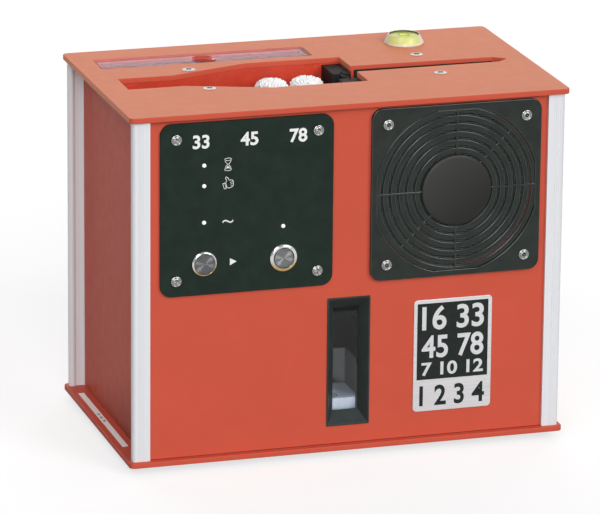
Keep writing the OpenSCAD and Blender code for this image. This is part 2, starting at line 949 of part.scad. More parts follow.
// Metal push switch: ring, barrel and nut are fixed, the cap slides in them
module switch_shell(at, ring_d, cap_d) {
    color(silver) switch_at(at) difference() {
        union() {
            translate([0, ctrl_face_y, 0]) rotate([90, 0, 0]) {
                cylinder(d = ring_d, h = ring_edge_t);
                translate([0, 0, ring_edge_t]) cylinder(d1 = ring_d,
                    d2 = ring_d - 2 * ring_bevel, h = ring_t - ring_edge_t);
            }
            bar_y(barrel_d, ctrl_face_y - lap, -panel_in_y + switch_depth);
            bar_y(barrel_d + nut_over, -panel_in_y, -panel_in_y + nut_t);
        }
        bar_y(cap_d + 2 * run_gap, ctrl_face_y - ring_t - cut, ctrl_face_y + cap_room);
        bar_y(cap_stem_d + 2 * run_gap, ctrl_face_y, ctrl_face_y + stem_room);
    }
}

module switch_cap(at, cap_d) {
    color(silver) switch_at(at) translate([0, ctrl_face_y - cap_proud, 0])
        rotate([-90, 0, 0]) {
            cylinder(d1 = cap_d - 2 * cap_edge, d2 = cap_d, h = cap_edge);
            bar_z(cap_d, cap_edge, cap_proud + cap_under);
            bar_z(cap_stem_d, 0, cap_proud + stem_len);
        }
}

module start_switch() { switch_shell(start_at, start_ring_d, start_cap_d); }
module start_button() { switch_cap(start_at, start_cap_d); }
module power_switch() { switch_shell(power_at, power_ring_d, power_cap_d); }
module power_button() { switch_cap(power_at, power_cap_d); }

// Board behind the front panel with a chip, a plug and a capacitor
module circuit_board() {
    back_y = board_y + board_t;
    color("#1d5c38") translate([ctrl_x, 0, ctrl_z1]) {
        translate([-board_w / 2, board_y, -board_drop - board_h])
            cube([board_w, board_t, board_h]);
        translate([chip_x - chip_w / 2, back_y, -chip_drop - chip_w / 2])
            cube([chip_w, chip_t, chip_w]);
        translate([plug_x - plug_w / 2, back_y, -plug_drop - plug_h / 2])
            cube([plug_w, plug_t, plug_h]);
        translate([can_x, 0, -can_drop]) bar_y(can_d, back_y - lap, back_y + can_len);
    }
}

module board_spacers() {
    color("#c9a961") translate([ctrl_x, 0, ctrl_z1 - board_drop])
        for (sx = [-1, 1], z = [stud_inset, board_h - stud_inset])
            translate([sx * (board_w / 2 - stud_inset), 0, -z])
                bar_y(stud_d, -panel_in_y, board_y);
}

// Fans

// Ring i of the guard's grid, counted from the closed middle
module guard_ring(i) {
    r = guard_hub_d / 2 + hub_gap + i * ring_pitch;
    intersection() {
        difference() {
            circle(r = r + ring_w);
            circle(r = r);
        }
        square(fan_w + 2 * lap, center = true);
    }
}

// Guard with rings round a closed middle, face towards -Y, back face on y = 0
module fan_guard() {
    rim_r = guard_hub_d / 2 + hub_gap + (ring_n - 1) * ring_pitch + ring_w + guard_rim_gap;
    spoke_x = guard_hub_d / 2 - spoke_lap;
    color(black) difference() {
        union() {
            upright(-guard_t, 0) difference() {
                round_rect(guard_w, guard_w, guard_r);
                intersection() {
                    circle(r = rim_r);
                    square(fan_w, center = true);
                }
            }
            upright(-grid_set - grid_t, -grid_set) for (i = [0:ring_n - 1]) guard_ring(i);
            bar_y(guard_hub_d, -guard_t - hub_proud, 0);
            for (a = [0:90:359]) rotate([0, a, 0]) translate([spoke_x, -cross_t, -spoke_w / 2])
                cube([rim_r - spoke_x, cross_t, spoke_w]);
            for (a = [45:90:359]) rotate([0, a, 0]) translate([spoke_x, -brace_t, -spoke_w / 2])
                cube([rim_r - spoke_x, brace_t, spoke_w]);
        }
        fan_screw_places() bar_y(plate_thread_d + 2 * hole_gap, -guard_t - cut, cut);
    }
}

// Fan frame between y = 0 and y = fan_t, its motor on arms at the far side
module fan_frame() {
    hub_y = fan_t - rotor_hub_t;
    color("#1c1f1e") difference() {
        union() {
            upright(0, fan_t) difference() {
                round_rect(fan_w, fan_w, fan_r);
                circle(d = fan_bore);
            }
            for (i = [0:arm_n - 1]) rotate([0, i * 360 / arm_n, 0])
                translate([0, fan_t - arm_t, -arm_w / 2])
                    cube([fan_bore / 2 + cut, arm_t, arm_w]);
            bar_y(rotor_hub_d, hub_y, fan_t);
        }
        fan_screw_places() bar_y(plate_thread_d + 2 * hole_gap, -cut, fan_t + cut);
        bar_y(fan_pin_d + 2 * run_gap, hub_y - cut, fan_t - fan_pin_end);
    }
}

module fan_rotor() {
    blade_x = rotor_hub_d / 2 - blade_root;
    hub_end = fan_t - rotor_hub_t - hub_run;
    color("#2a2e2d") {
        bar_y(rotor_hub_d - rotor_under, hub_front, hub_end);
        bar_y(fan_pin_d, hub_front + rotor_under, fan_t - fan_pin_end - pin_end_gap);
        for (i = [0:blade_n - 1]) rotate([0, i * 360 / blade_n, 0])
            translate([blade_x, (hub_front + hub_end) / 2 + blade_shift, 0])
                rotate([blade_pitch, 0, 0])
                    translate([0, -blade_t / 2, -blade_w / 2])
                        cube([fan_bore / 2 - blade_tip_gap - blade_x, blade_t, blade_w]);
    }
}

module at_rear_fan() {
    fan_place() translate([0, panel_in_y, 0]) mirror([0, 1, 0]) children();
}

module front_fan_guard() { fan_place() translate([0, -panel_y, 0]) fan_guard(); }
module front_fan_frame() { fan_place() translate([0, -panel_in_y, 0]) fan_frame(); }
module front_fan_rotor() { fan_place() translate([0, -panel_in_y, 0]) fan_rotor(); }
module rear_fan_guard() { at_rear_fan() translate([0, -panel_t, 0]) fan_guard(); }
module rear_fan_frame() { at_rear_fan() fan_frame(); }
module rear_fan_rotor() { at_rear_fan() fan_rotor(); }

module rear_guard_screws() {
    color(silver) fan_place() fan_screw_places() translate([0, panel_y + guard_t, 0])
        plate_screw(-1, guard_t + panel_t + guard_grip);
}

// Window

module window_bezel() {
    in_w = win_w - 2 * win_rim;
    in_h = win_h - 2 * win_rim;
    box_w = win_w - 2 * (win_lap + fit_gap);
    box_h = win_h - 2 * (win_lap + fit_gap);
    color(black) translate([0, 0, win_z]) difference() {
        union() {
            upright(win_face_y, -panel_y) round_rect(win_w, win_h, win_r);
            upright(-panel_y - lap, win_back_y) square([box_w, box_h], center = true);
        }
        hull() {
            translate([0, win_face_y - lap, 0]) cube([in_w, lap, in_h], center = true);
            translate([0, win_back_y + lap, 0]) cube([win_in_w, lap, win_in_h], center = true);
        }
    }
}

module window_pane() {
    color("#b8c4cc", 0.4) translate([0, win_back_y + pane_t / 2, win_z])
        cube([win_in_w + 2 * pane_lap, pane_t, win_in_h + 2 * pane_lap], center = true);
}

module level_float() {
    color("white") translate([0, tank_y0 + tank_wall + guide_gap + float_d / 2, float_z])
        difference() {
            translate([0, 0, float_h / 2]) cube([float_w, float_d, float_h], center = true);
            bar_z(float_dimple_d, float_h - float_dimple, float_h + cut);
        }
}

// Water path

module tank_footprint(e) {
    difference() {
        translate([-tank_x1 + e, tank_y0 + e])
            square([2 * (tank_x1 - e), tank_y1 - tank_y0 - 2 * e]);
        corners(tank_x1, panel_in_y) square(2 * (tank_notch + e), center = true);
    }
}

// Open tank with a tower behind the window and a square guide for the float
module reservoir_tank() {
    tower_w = win_in_w + 2 * pane_lap;
    guide_y0 = tank_y0 + tank_wall;
    box_w = guide_w + 2 * guide_wall;
    box_d = tank_wall + guide_d + guide_wall;
    color("#8d8a84") difference() {
        union() {
            translate([0, 0, base_z1]) linear_extrude(height = tank_z1 - base_z1) difference() {
                tank_footprint(0);
                tank_footprint(tank_wall);
            }
            translate([0, 0, base_z1]) linear_extrude(height = tank_wall) tank_footprint(0);
            translate([-tower_w / 2, tank_y0, base_z1])
                cube([tower_w, tank_wall, win_z1 - base_z1]);
            translate([-box_w / 2, tank_y0, base_z1]) cube([box_w, box_d, guide_z1 - base_z1]);
        }
        translate([-guide_w / 2, guide_y0, float_z - float_rest_gap])
            cube([guide_w, guide_d, win_z1]);
        translate([-guide_w / 2, guide_y0, tank_floor_z])
            cube([guide_w, guide_d, float_z - guide_seat - tank_floor_z]);
        translate([-inflow_w / 2, guide_y0 + inflow_set, tank_floor_z])
            cube([inflow_w, box_d, float_z]);
        translate([-win_in_w / 2, tank_y0 - cut, float_z - guide_seat])
            cube([win_in_w, tank_wall + 2 * cut, win_in_h]);
    }
}

module tank_cover() {
    opening_w = float_w + 2 * cover_gap;
    color("#5b5e60") difference() {
        translate([0, 0, tank_z1]) linear_extrude(height = cover_t) tank_footprint(0);
        translate([pump_x, record_y, 0])
            bar_z(riser_d + 2 * pipe_gap, tank_z1 - cut, tank_z1 + cover_t + cut);
        translate([drain_x, record_y, 0])
            bar_z(drain_pipe_d + 2 * pipe_gap, tank_z1 - cut, tank_z1 + cover_t + cut);
        translate([-opening_w / 2, tank_y0 - cut, tank_z1 - cut])
            cube([opening_w, cut + tank_wall + float_d + cover_gap, cover_t + 2 * cut]);
    }
}

// Threaded boss under the top plate at a pair of top screws, and the bores in it
module boss_pair(x) {
    top_screw_pair(x) bar_z(top_thread_d + 2 * boss_wall, top_z0 - boss_h - boss_root, top_z0);
}

module boss_bores(x) {
    top_screw_pair(x)
        bar_z(top_thread_d + 2 * run_gap, top_z0 - boss_h - cut, top_z0 + cut);
}

// Half width of the tub's inside at x, from the disc plane
function tub_half(x) =
    slot_left_w / 2 + max(0, x - slot_xn) / slot_flare * (slot_wide_w - slot_left_w) / 2;

module wash_tub() {
    color(red) difference() {
        union() {
            translate([0, 0, tub_z0]) linear_extrude(height = tub_depth) tub_outline(tub_out);
            translate([0, 0, top_z0 - flange_t]) linear_extrude(height = flange_t)
                intersection() {
                    tub_outline(tub_out + flange_w);
                    translate([-duct_x1, -plate_d / 2]) square([tub_end + duct_x1, plate_d]);
                }
            boss_pair(top_screw_x0);
        }
        translate([0, 0, tub_z1]) linear_extrude(height = tub_depth) tub_outline(tub_lip);
        drum_spots() bar_z(spindle_d + 2 * run_gap, tub_z0 - cut, tub_z1 + cut);
        translate([record_x - roller_dx, 0, roller_z])
            bar_y(roller_shaft_d + 2 * run_gap, record_y - slot_wide_w, record_y + slot_wide_w);
        translate([slot_xs - cut, record_y - slot_right_w / 2, tub_z1])
            cube([tub_out + 2 * cut, slot_right_w, tub_depth]);
        boss_bores(top_screw_x0);
        translate([pump_x, record_y, 0]) bar_z(riser_bore, tub_z0 - cut, tub_z1 + cut);
    }
}

module drying_duct() {
    tab_d = 2 * (top_screw_dy + duct_tab_over);
    vent_x0 = tub_end + vent_set;
    vent_x1 = record_x + roller_dx - roller_d - vent_set;
    color(black) difference() {
        union() {
            translate([0, 0, tub_z0]) linear_extrude(height = tub_depth)
                duct_outline(tub_out, tub_end, duct_x1);
            translate([top_screw_x1 - duct_tab_w / 2, record_y - tab_d / 2, top_z0 - flange_t])
                cube([duct_tab_w, tab_d, flange_t]);
            boss_pair(top_screw_x1);
        }
        translate([0, 0, tub_z1]) linear_extrude(height = tub_depth)
            duct_outline(tub_lip, tub_end - cut, duct_x1 - tub_wall);
        translate([record_x + roller_dx, 0, roller_z])
            bar_y(roller_shaft_d + 2 * run_gap, record_y - slot_wide_w, record_y + slot_wide_w);
        for (i = [0:vent_n - 1])
            translate([vent_x0 + i * (vent_x1 - vent_x0) / (vent_n - 1),
                record_y - slot_right_w, tub_z1 + vent_low])
                cube([vent_w, 2 * slot_right_w, tub_depth - tub_floor - vent_low - vent_top]);
        boss_bores(top_screw_x1);
        translate([drain_x, record_y, 0]) bar_z(drain_bore, tub_z0 - cut, tub_z1 + cut);
    }
}

module drum_at(p) {
    translate([drum_x + p[0] * drum_pitch / 2, record_y + p[1] * drum_dy, 0]) children();
}

module drum_spots() {
    for (p = drum_places) drum_at(p) children();
}

// Microfibre drum on a hollow core, closed at the top
module drum_sleeve(i) {
    r = drum_d / 2;
    color("#f4f6f6") drum_at(drum_places[i]) translate([0, 0, drum_z0])
        rotate_extrude() difference() {
            union() {
                square([r, drum_len - drum_crown]);
                square([r - drum_crown, drum_len]);
                translate([r - drum_crown, drum_len - drum_crown]) circle(r = drum_crown);
            }
            square([spindle_d / 2 + run_gap, drum_len - drum_cap]);
            translate([-drum_d, -drum_d]) square([drum_d, drum_len + 2 * drum_d]);
        }
}

module drum_sleeve_1() { drum_sleeve(0); }
module drum_sleeve_2() { drum_sleeve(1); }
module drum_sleeve_3() { drum_sleeve(2); }
module drum_sleeve_4() { drum_sleeve(3); }

// Spindle with its gear below the tub and the seat of the drum above the floor
module drum_spindle(i) {
    p = drum_places[i];
    t = atan2(p[1] * drum_dy, p[0] * drum_pitch / 2);
    seat_z1 = drum_z0 - collar_gap;
    color("#b9bcc0") drum_at(p) {
        translate([0, 0, gear_z0]) linear_extrude(height = gear_w)
            polygon(gear_points(drum_teeth, mesh_phase(t)));
        bar_z(spindle_d, gear_z0, drum_z1 - drum_cap - spindle_top);
        bar_z(spindle_d + collar_over, gear_z1 - lap, tub_z0 - collar_gap);
        bar_z(spindle_d + collar_over, tub_z1 + collar_gap, seat_z1 - seat_t + lap);
        bar_z(drum_d - seat_in, seat_z1 - seat_t, seat_z1);
    }
}

module drum_spindle_1() { drum_spindle(0); }
module drum_spindle_2() { drum_spindle(1); }
module drum_spindle_3() { drum_spindle(2); }
module drum_spindle_4() { drum_spindle(3); }

module drum_pinion() {
    color("#c9a961") translate([drum_x, record_y, 0]) {
        translate([0, 0, gear_z0]) linear_extrude(height = gear_w)
            polygon(gear_points(pinion_teeth, 0));
        bar_z(pinion_shaft_d, motor_plate_z1 - pinion_shaft_in, gear_z1);
    }
}

module drum_motor() {
    plate_z0 = motor_plate_z1 - motor_plate_t;
    plate_side = 2 * pillar_set + pillar_d;
    color("#9aa0a4") translate([drum_x, record_y, 0]) difference() {
        union() {
            translate([0, 0, plate_z0]) linear_extrude(height = motor_plate_t)
                round_rect(plate_side, plate_side, pillar_d / 2);
            corners(pillar_set, pillar_set) bar_z(pillar_d, plate_z0, tub_z0);
            bar_z(drum_motor_d, drum_motor_z0, plate_z0 + lap);
        }
        bar_z(pinion_shaft_d + 2 * run_gap, motor_plate_z1 - pinion_shaft_in - shaft_end_gap,
            motor_plate_z1 + cut);
    }
}

// The drive motor's seat on the tub's wall
drive_y0 = record_y + tub_half(record_x - roller_dx + drive_motor_d / 2) + tub_out;

module drive_roller() {
    wall_y = slot_left_w / 2 + tub_lip;
    color("#3a3d3f") translate([record_x - roller_dx, 0, roller_z]) {
        bar_y(roller_d, record_y - wall_y + roller_gap, record_y + wall_y - roller_gap);
        bar_y(roller_shaft_d, record_y - wall_y - tub_wall - shaft_over,
            drive_y0 + drive_shaft_in);
    }
}

module drive_motor() {
    plate_h = drive_motor_d + 2 * drive_plate_over;
    color("#9aa0a4") translate([record_x - roller_dx, 0, roller_z]) difference() {
        union() {
            bar_y(drive_motor_d, drive_y0, drive_y0 + drive_motor_len);
            translate([-drive_motor_d / 2, drive_y0, -plate_h / 2])
                cube([drive_motor_d, drive_plate_t, plate_h]);
        }
        bar_y(roller_shaft_d + 2 * run_gap, drive_y0 - cut,
            drive_y0 + drive_shaft_in + shaft_end_gap);
    }
}

module idler_roller() {
    wall_y = slot_right_w / 2 * slot_end_share + tub_lip - idler_gap;
    out_y = slot_right_w / 2 + tub_out + shaft_over;
    color("#3a3d3f") translate([record_x + roller_dx, 0, roller_z]) {
        bar_y(roller_d, record_y - wall_y, record_y + wall_y);
        bar_y(roller_shaft_d, record_y - out_y, record_y + out_y);
    }
}

// Blocks that hold the rubber lips against the end wall of the tub
module wiper_blocks() {
    x1 = slot_xs + tub_lip;
    depth = slot_wide_w / 2 + tub_lip - wiper_gap;
    groove_w = lip_t + 2 * lip_fit;
    color(black) for (s = [-1, 1]) translate([x1 - wiper_len, record_y, drum_z0])
        difference() {
            translate([0, s > 0 ? wiper_gap : -wiper_gap - depth, 0])
                cube([wiper_len, depth, top_z0 - wiper_top_gap - drum_z0]);
            translate([(wiper_len - groove_w) / 2,
                s > 0 ? wiper_gap - cut : -wiper_gap - wiper_groove, -cut])
                cube([groove_w, wiper_groove + cut, top_z0]);
        }
}

module wiper_lips() {
    x = slot_xs + tub_lip - (wiper_len + lip_t) / 2;
    z0 = drum_z0 + lip_end_gap;
    z1 = top_z0 - wiper_top_gap - lip_end_gap;
    color("#1a1c1b") for (s = [-1, 1])
        translate([x, record_y + (s > 0 ? lip_gap : -wiper_gap - wiper_groove), z0])
            cube([lip_t, wiper_gap + wiper_groove - lip_gap, z1 - z0]);
}

// Lid and filter

module filter_lid() {
    color("#c8b4c0", 0.4) difference() {
        translate([lid_x, lid_y, lid_z0 + lid_t / 2])
            cube([lid_len - 2 * lift_gap, lid_w - 2 * lift_gap, lid_t], center = true);
        translate([lid_x, finger_y, 0]) bar_z(finger_d, lid_z0 - cut, top_z1 + cut);
    }
}

module filter_trough() {
    color(red) translate([lid_x, lid_y, top_z0 - trough_depth]) difference() {
        translate([0, 0, trough_depth / 2])
            cube([hatch_len + 2 * trough_wall, hatch_w + 2 * trough_wall, trough_depth],
                center = true);
        translate([0, 0, trough_depth / 2 + trough_wall])
            cube([hatch_len, hatch_w, trough_depth], center = true);
    }
}

module filter_block() {
    color("#d9d4dc") translate([lid_x, lid_y, top_z0 - trough_depth + trough_wall + filter_h / 2])
        cube([hatch_len - 2 * filter_side_gap, hatch_w - 2 * filter_side_gap, filter_h],
            center = true);
}

// Pump, drain and transducer

module water_pump() {
    color("#3c4a58") translate([pump_x, record_y, 0]) difference() {
        union() {
            translate([-pump_w / 2, -pump_d / 2, tank_floor_z]) cube([pump_w, pump_d, pump_h]);
            bar_z(riser_d, tank_floor_z, tub_z0);
        }
        bar_z(riser_bore, tank_floor_z + pump_h / 2, tub_z0 + cut);
    }
}

module ultrasonic_transducer() {
    color("#b9bcc0") translate([transducer_x, record_y, tub_z0]) {
        bar_z(transducer_d, -transducer_face_t, 0);
        bar_z(transducer_neck_d, -transducer_face_t - transducer_neck_t, lap - transducer_face_t);
        translate([0, 0, -transducer_face_t - transducer_neck_t - transducer_back_t + lap])
            cylinder(d = transducer_back_d, h = transducer_back_t);
    }
}

module drain_valve() {
    color("#3c4a58") translate([drain_x, record_y, 0]) difference() {
        union() {
            translate([-drain_w / 2, -drain_w / 2, tub_z0 - drain_h])
                cube([drain_w, drain_w, drain_h]);
            bar_z(drain_pipe_d, tank_z1 - drain_pipe_in, tub_z0 - drain_h + lap);
        }
        bar_z(drain_bore, tank_z1 - drain_pipe_in - cut, tub_z0 + cut);
    }
}

module power_inlet() {
    color(black) translate([inlet_x, 0, inlet_z]) {
        difference() {
            union() {
                bar_y(inlet_d + 2 * inlet_flange, panel_y, panel_y + inlet_proud);
                bar_y(inlet_d, panel_in_y - inlet_depth, panel_y + lap);
            }
            bar_y(inlet_bore, panel_in_y - inlet_depth + inlet_back, panel_y + inlet_proud + cut);
        }
        bar_y(inlet_pin, panel_in_y - inlet_depth + inlet_back - lap, panel_y);
    }
}

// Spirit level

module level_vial() {
    color("#e8f0c0", 0.5) translate([level_x, level_y, top_z1]) difference() {
        cylinder(d1 = level_d, d2 = level_top_d, h = level_h);
        bar_z(level_top_d - 2 * level_wall, level_wall, level_h - level_cap_t);
    }
}

// The liquid fills the vial, with a round bubble under its cap
module level_liquid() {
    z1 = level_h - level_cap_t;
    color("#d4e04a") translate([level_x, level_y, top_z1]) difference() {
        bar_z(level_top_d - 2 * level_wall, level_wall, z1);
        bar_z(bubble_d, z1 - bubble_t, z1 - lap);
    }
}

base_plate();
top_plate();
front_posts();
rear_posts();
front_panel();
rear_panel();
left_panel();
right_panel();
rubber_feet();
base_screws();
top_screws();
label_strip();
badge_plate();
control_plate();
front_plate_screws();
indicator_lamps();
start_switch();
start_button();
power_switch();
power_button();
front_fan_guard();
front_fan_frame();
front_fan_rotor();
rear_fan_guard();
rear_guard_screws();
rear_fan_frame();
rear_fan_rotor();
window_bezel();
window_pane();
level_float();
reservoir_tank();
tank_cover();
wash_tub();
drying_duct();
drum_sleeve_1();
drum_sleeve_2();
drum_sleeve_3();
drum_sleeve_4();
drum_spindle_1();
drum_spindle_2();
drum_spindle_3();
drum_spindle_4();
drum_pinion();
drum_motor();
drive_roller();
drive_motor();
idler_roller();
wiper_blocks();
wiper_lips();
level_vial();
level_liquid();
filter_lid();
filter_trough();
filter_block();
water_pump();
ultrasonic_transducer();
drain_valve();
circuit_board();
board_spacers();
power_inlet();
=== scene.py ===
# %% [markdown]
# # A bench record cleaning machine
# The machine is a panelled case: two thick plates, four sheet panels and four aluminium corner
# posts. A disc is lowered through the slot in the top plate, between soft drums and rubber
# lips. The front carries a plate with lamps and two push buttons, a fan guard, a sight window
# and a badge. The exact frame comes packed from CAD, and this script only dresses it.

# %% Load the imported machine
import json
import math

import bmesh
import bpy
from mathutils import Matrix, Vector


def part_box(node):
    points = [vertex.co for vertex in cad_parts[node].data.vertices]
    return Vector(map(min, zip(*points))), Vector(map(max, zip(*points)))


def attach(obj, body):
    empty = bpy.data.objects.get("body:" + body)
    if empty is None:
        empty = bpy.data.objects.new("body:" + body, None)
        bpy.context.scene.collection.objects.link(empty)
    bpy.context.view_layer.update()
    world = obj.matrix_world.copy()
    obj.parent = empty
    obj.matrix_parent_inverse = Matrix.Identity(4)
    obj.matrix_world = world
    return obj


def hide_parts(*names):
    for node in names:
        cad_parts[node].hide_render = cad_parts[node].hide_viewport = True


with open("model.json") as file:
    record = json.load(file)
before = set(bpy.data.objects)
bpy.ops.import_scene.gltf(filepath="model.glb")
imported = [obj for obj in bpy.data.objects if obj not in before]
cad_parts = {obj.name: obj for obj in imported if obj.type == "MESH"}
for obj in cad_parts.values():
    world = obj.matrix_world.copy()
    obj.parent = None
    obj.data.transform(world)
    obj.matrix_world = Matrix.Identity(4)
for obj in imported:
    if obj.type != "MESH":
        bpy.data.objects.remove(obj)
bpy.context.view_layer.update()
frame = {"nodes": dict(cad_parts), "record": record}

MM = 0.001
nodes = frame["nodes"]

# %% [markdown]
# ## The camera
# A long lens far away keeps upright edges almost parallel, as in a catalogue photograph. Place,
# turn and lens were found by fitting a pinhole camera to the straight edges of the case.

# %% Set up the camera
right = Vector((0.9565150, -0.2915418, 0.0090754))
up = Vector((0.0751425, 0.2763590, 0.9581124))
back = Vector((-0.2818378, -0.9157670, 0.2862487))
lens_data = bpy.data.cameras.new("camera")
lens_data.lens = 295.37
lens_data.sensor_width = 36
lens_data.clip_end = 30
camera = bpy.data.objects.new("camera", lens_data)
bpy.context.scene.collection.objects.link(camera)
turn = Matrix((right, up, back)).transposed().to_4x4()
camera.matrix_world = Matrix.Translation((-1.03526, -3.33483, 1.16779)) @ turn
bpy.context.scene.camera = camera
print("camera is", round(camera.location.length, 2), "m from the machine's foot")

# %% [markdown]
# ## Selecting and shaping by code
# By hand one clicks an edge loop or a face. In code the same choice is made by its place and
# its direction, so these helpers select what passes a test. They start with everything
# deselected, because an operator acts on all that is selected.

# %% Helpers for selecting and for moving between modes
def alone(piece):
    """Leaves only this piece selected and active, in object mode."""
    if bpy.context.object and bpy.context.object.mode != "OBJECT":
        bpy.ops.object.mode_set(mode="OBJECT")
    bpy.ops.object.select_all(action="DESELECT")
    piece.select_set(True)
    bpy.context.view_layer.objects.active = piece


def edit(piece):
    alone(piece)
    bpy.ops.object.mode_set(mode="EDIT")


def done():
    bpy.ops.object.mode_set(mode="OBJECT")


def pick(kind, test):
    """Selects the verts, edges or faces whose middle and direction, in mm, pass the test."""
    bpy.ops.mesh.select_mode(type=kind)
    bpy.ops.mesh.select_all(action="DESELECT")
    shape = bmesh.from_edit_mesh(bpy.context.object.data)
    found = 0
    for part in {"VERT": shape.verts, "EDGE": shape.edges, "FACE": shape.faces}[kind]:
        if kind == "VERT":
            middle, way = part.co, part.normal
        elif kind == "EDGE":
            a, b = (v.co for v in part.verts)
            middle, way = (a + b) / 2, (b - a).normalized()
        else:
            middle, way = part.calc_center_median(), part.normal
        if test(middle / MM, way):
            part.select_set(True)
            found += 1
    shape.select_flush_mode()
    bmesh.update_edit_mesh(bpy.context.object.data)
    return found


def triangles(piece):
    piece.data.calc_loop_triangles()
    return len(piece.data.loop_triangles)


# %% [markdown]
# ## Starting shapes
# Most pieces here start as a block or as a turned shape. A turned shape is drawn as a lathe
# hand would do it: a ring is extruded up the axis and scaled to the next radius, step by step.

# %% Helpers for blocks, turned shapes and tubes
FRONT = Matrix.Rotation(math.radians(90), 4, "X")
REAR = Matrix.Rotation(math.radians(-90), 4, "X")
UPWARD = Matrix.Identity(4)


def settle(piece):
    """Puts the object's place into its mesh, so that the object sits at the origin."""
    alone(piece)
    bpy.ops.object.transform_apply(location=True, rotation=True, scale=True)
    return piece


def named(name):
    piece = bpy.context.object
    piece.name = piece.data.name = name
    return piece


def clear_selection():
    if bpy.context.object and bpy.context.object.mode != "OBJECT":
        bpy.ops.object.mode_set(mode="OBJECT")
    bpy.ops.object.select_all(action="DESELECT")


def block(name, low, high):
    """A box from its lowest to its highest corner, in mm."""
    clear_selection()
    low, high = Vector(low) * MM, Vector(high) * MM
    bpy.ops.mesh.primitive_cube_add(size=1, location=(low + high) / 2, scale=high - low)
    return settle(named(name))


def turned(name, foot, way, steps, count=64, hollow=False):
    """A shape turned about an axis that starts at foot, through steps of radius and height."""
    clear_selection()
    radius, height = steps[0]
    bpy.ops.mesh.primitive_circle_add(vertices=count, radius=radius * MM,
        fill_type="NOTHING" if hollow else "NGON", location=(0, 0, height * MM))
    piece = settle(named(name))
    edit(piece)
    bpy.ops.mesh.select_all(action="SELECT")
    for next_radius, next_height in steps[1:]:
        bpy.ops.mesh.extrude_region_move(
            TRANSFORM_OT_translate={"value": (0, 0, (next_height - height) * MM)})
        grow = next_radius / radius
        bpy.ops.transform.resize(value=(grow, grow, 1), center_override=(0, 0, 0))
        radius, height = next_radius, next_height
    if hollow:
        first, last = steps[0], steps[-1]
        pick("EDGE", lambda p, d: abs(d.z) < 0.5 and any(
            abs(p.z - h) < 1e-3 and abs(p.xy.length - r * math.cos(math.pi / count)) < 1e-3
            for r, h in (first, last)))
        bpy.ops.mesh.bridge_edge_loops()
    bpy.ops.mesh.select_all(action="SELECT")
    bpy.ops.mesh.normals_make_consistent(inside=False)
    done()
    piece.matrix_world = Matrix.Translation(Vector(foot) * MM) @ way
    return settle(piece)


def apply(piece, kind, **settings):
    """Adds a modifier, sets it and applies it."""
    alone(piece)
    modifier = piece.modifiers.new(kind.lower(), kind)
    for key, value in settings.items():
        setattr(modifier, key, value)
    bpy.ops.object.modifier_apply(modifier=modifier.name)
    return piece


def cut(piece, tool, how="DIFFERENCE"):
    """Cuts the piece with a tool shape, and throws the tool away."""
    apply(piece, "BOOLEAN", operation=how, object=tool, solver="EXACT")
    bpy.data.objects.remove(tool)
    return piece


def shade(piece, angle=38):
    """Smooth shading across rounded edges, while large faces keep shading flat."""
    alone(piece)
    bpy.ops.object.shade_smooth_by_angle(angle=math.radians(angle))
    return apply(piece, "WEIGHTED_NORMAL", keep_sharp=True, weight=100)


def ease(piece, width, segments=2, angle=35, edge_slot=-1):
    """Rounds every edge sharper than the angle; edge_slot gives the new strips a finish."""
    apply(piece, "BEVEL", width=width * MM, segments=segments, limit_method="ANGLE",
        angle_limit=math.radians(angle), use_clamp_overlap=False, miter_outer="MITER_ARC",
        material=edge_slot)
    return shade(piece)


def round_corners(piece, radius, along, segments=8):
    """Rounds the edges of a block that run along one axis."""
    edit(piece)
    pick("EDGE", lambda p, d: abs(d.dot(along)) > 0.99)
    bpy.ops.mesh.bevel(offset=radius * MM, segments=segments, affect="EDGES")
    done()
    return piece


def copied(piece, name, shift):
    """A copy with a mesh of its own, moved by a shift in mm."""
    alone(piece)
    bpy.ops.object.duplicate()
    twin = named(name)
    twin.location = Vector(shift) * MM
    return settle(twin)


def joined(name, pieces):
    clear_selection()
    for piece in pieces:
        piece.select_set(True)
    bpy.context.view_layer.objects.active = pieces[0]
    bpy.ops.object.join()
    return named(name)


def eased_node(node, name, width, segments=2):
    """A copy of a CAD node's mesh, merged, cleaned and with its edges rounded."""
    piece = nodes[node].copy()
    piece.data = nodes[node].data.copy()
    piece.parent = None
    for key in list(piece.keys()):
        del piece[key]
    bpy.context.scene.collection.objects.link(piece)
    piece.name = piece.data.name = name
    edit(piece)
    bpy.ops.mesh.select_all(action="SELECT")
    bpy.ops.mesh.remove_doubles(threshold=1e-6)
    bpy.ops.mesh.dissolve_limited(angle_limit=math.radians(0.5))
    done()
    return ease(piece, width, segments)


# %% [markdown]
# ## Finishes
# Every finish is a Principled shader with patterns on Object coordinates, so it needs no UVs
# and no pictures. One helper builds the parts that all of them share: a slow cloud that shifts
# the colour, a finer grain that changes the gloss, and pits or lines that lift the surface.
# Stretching the grain turns it into the drawn lines of extruded or brushed metal.

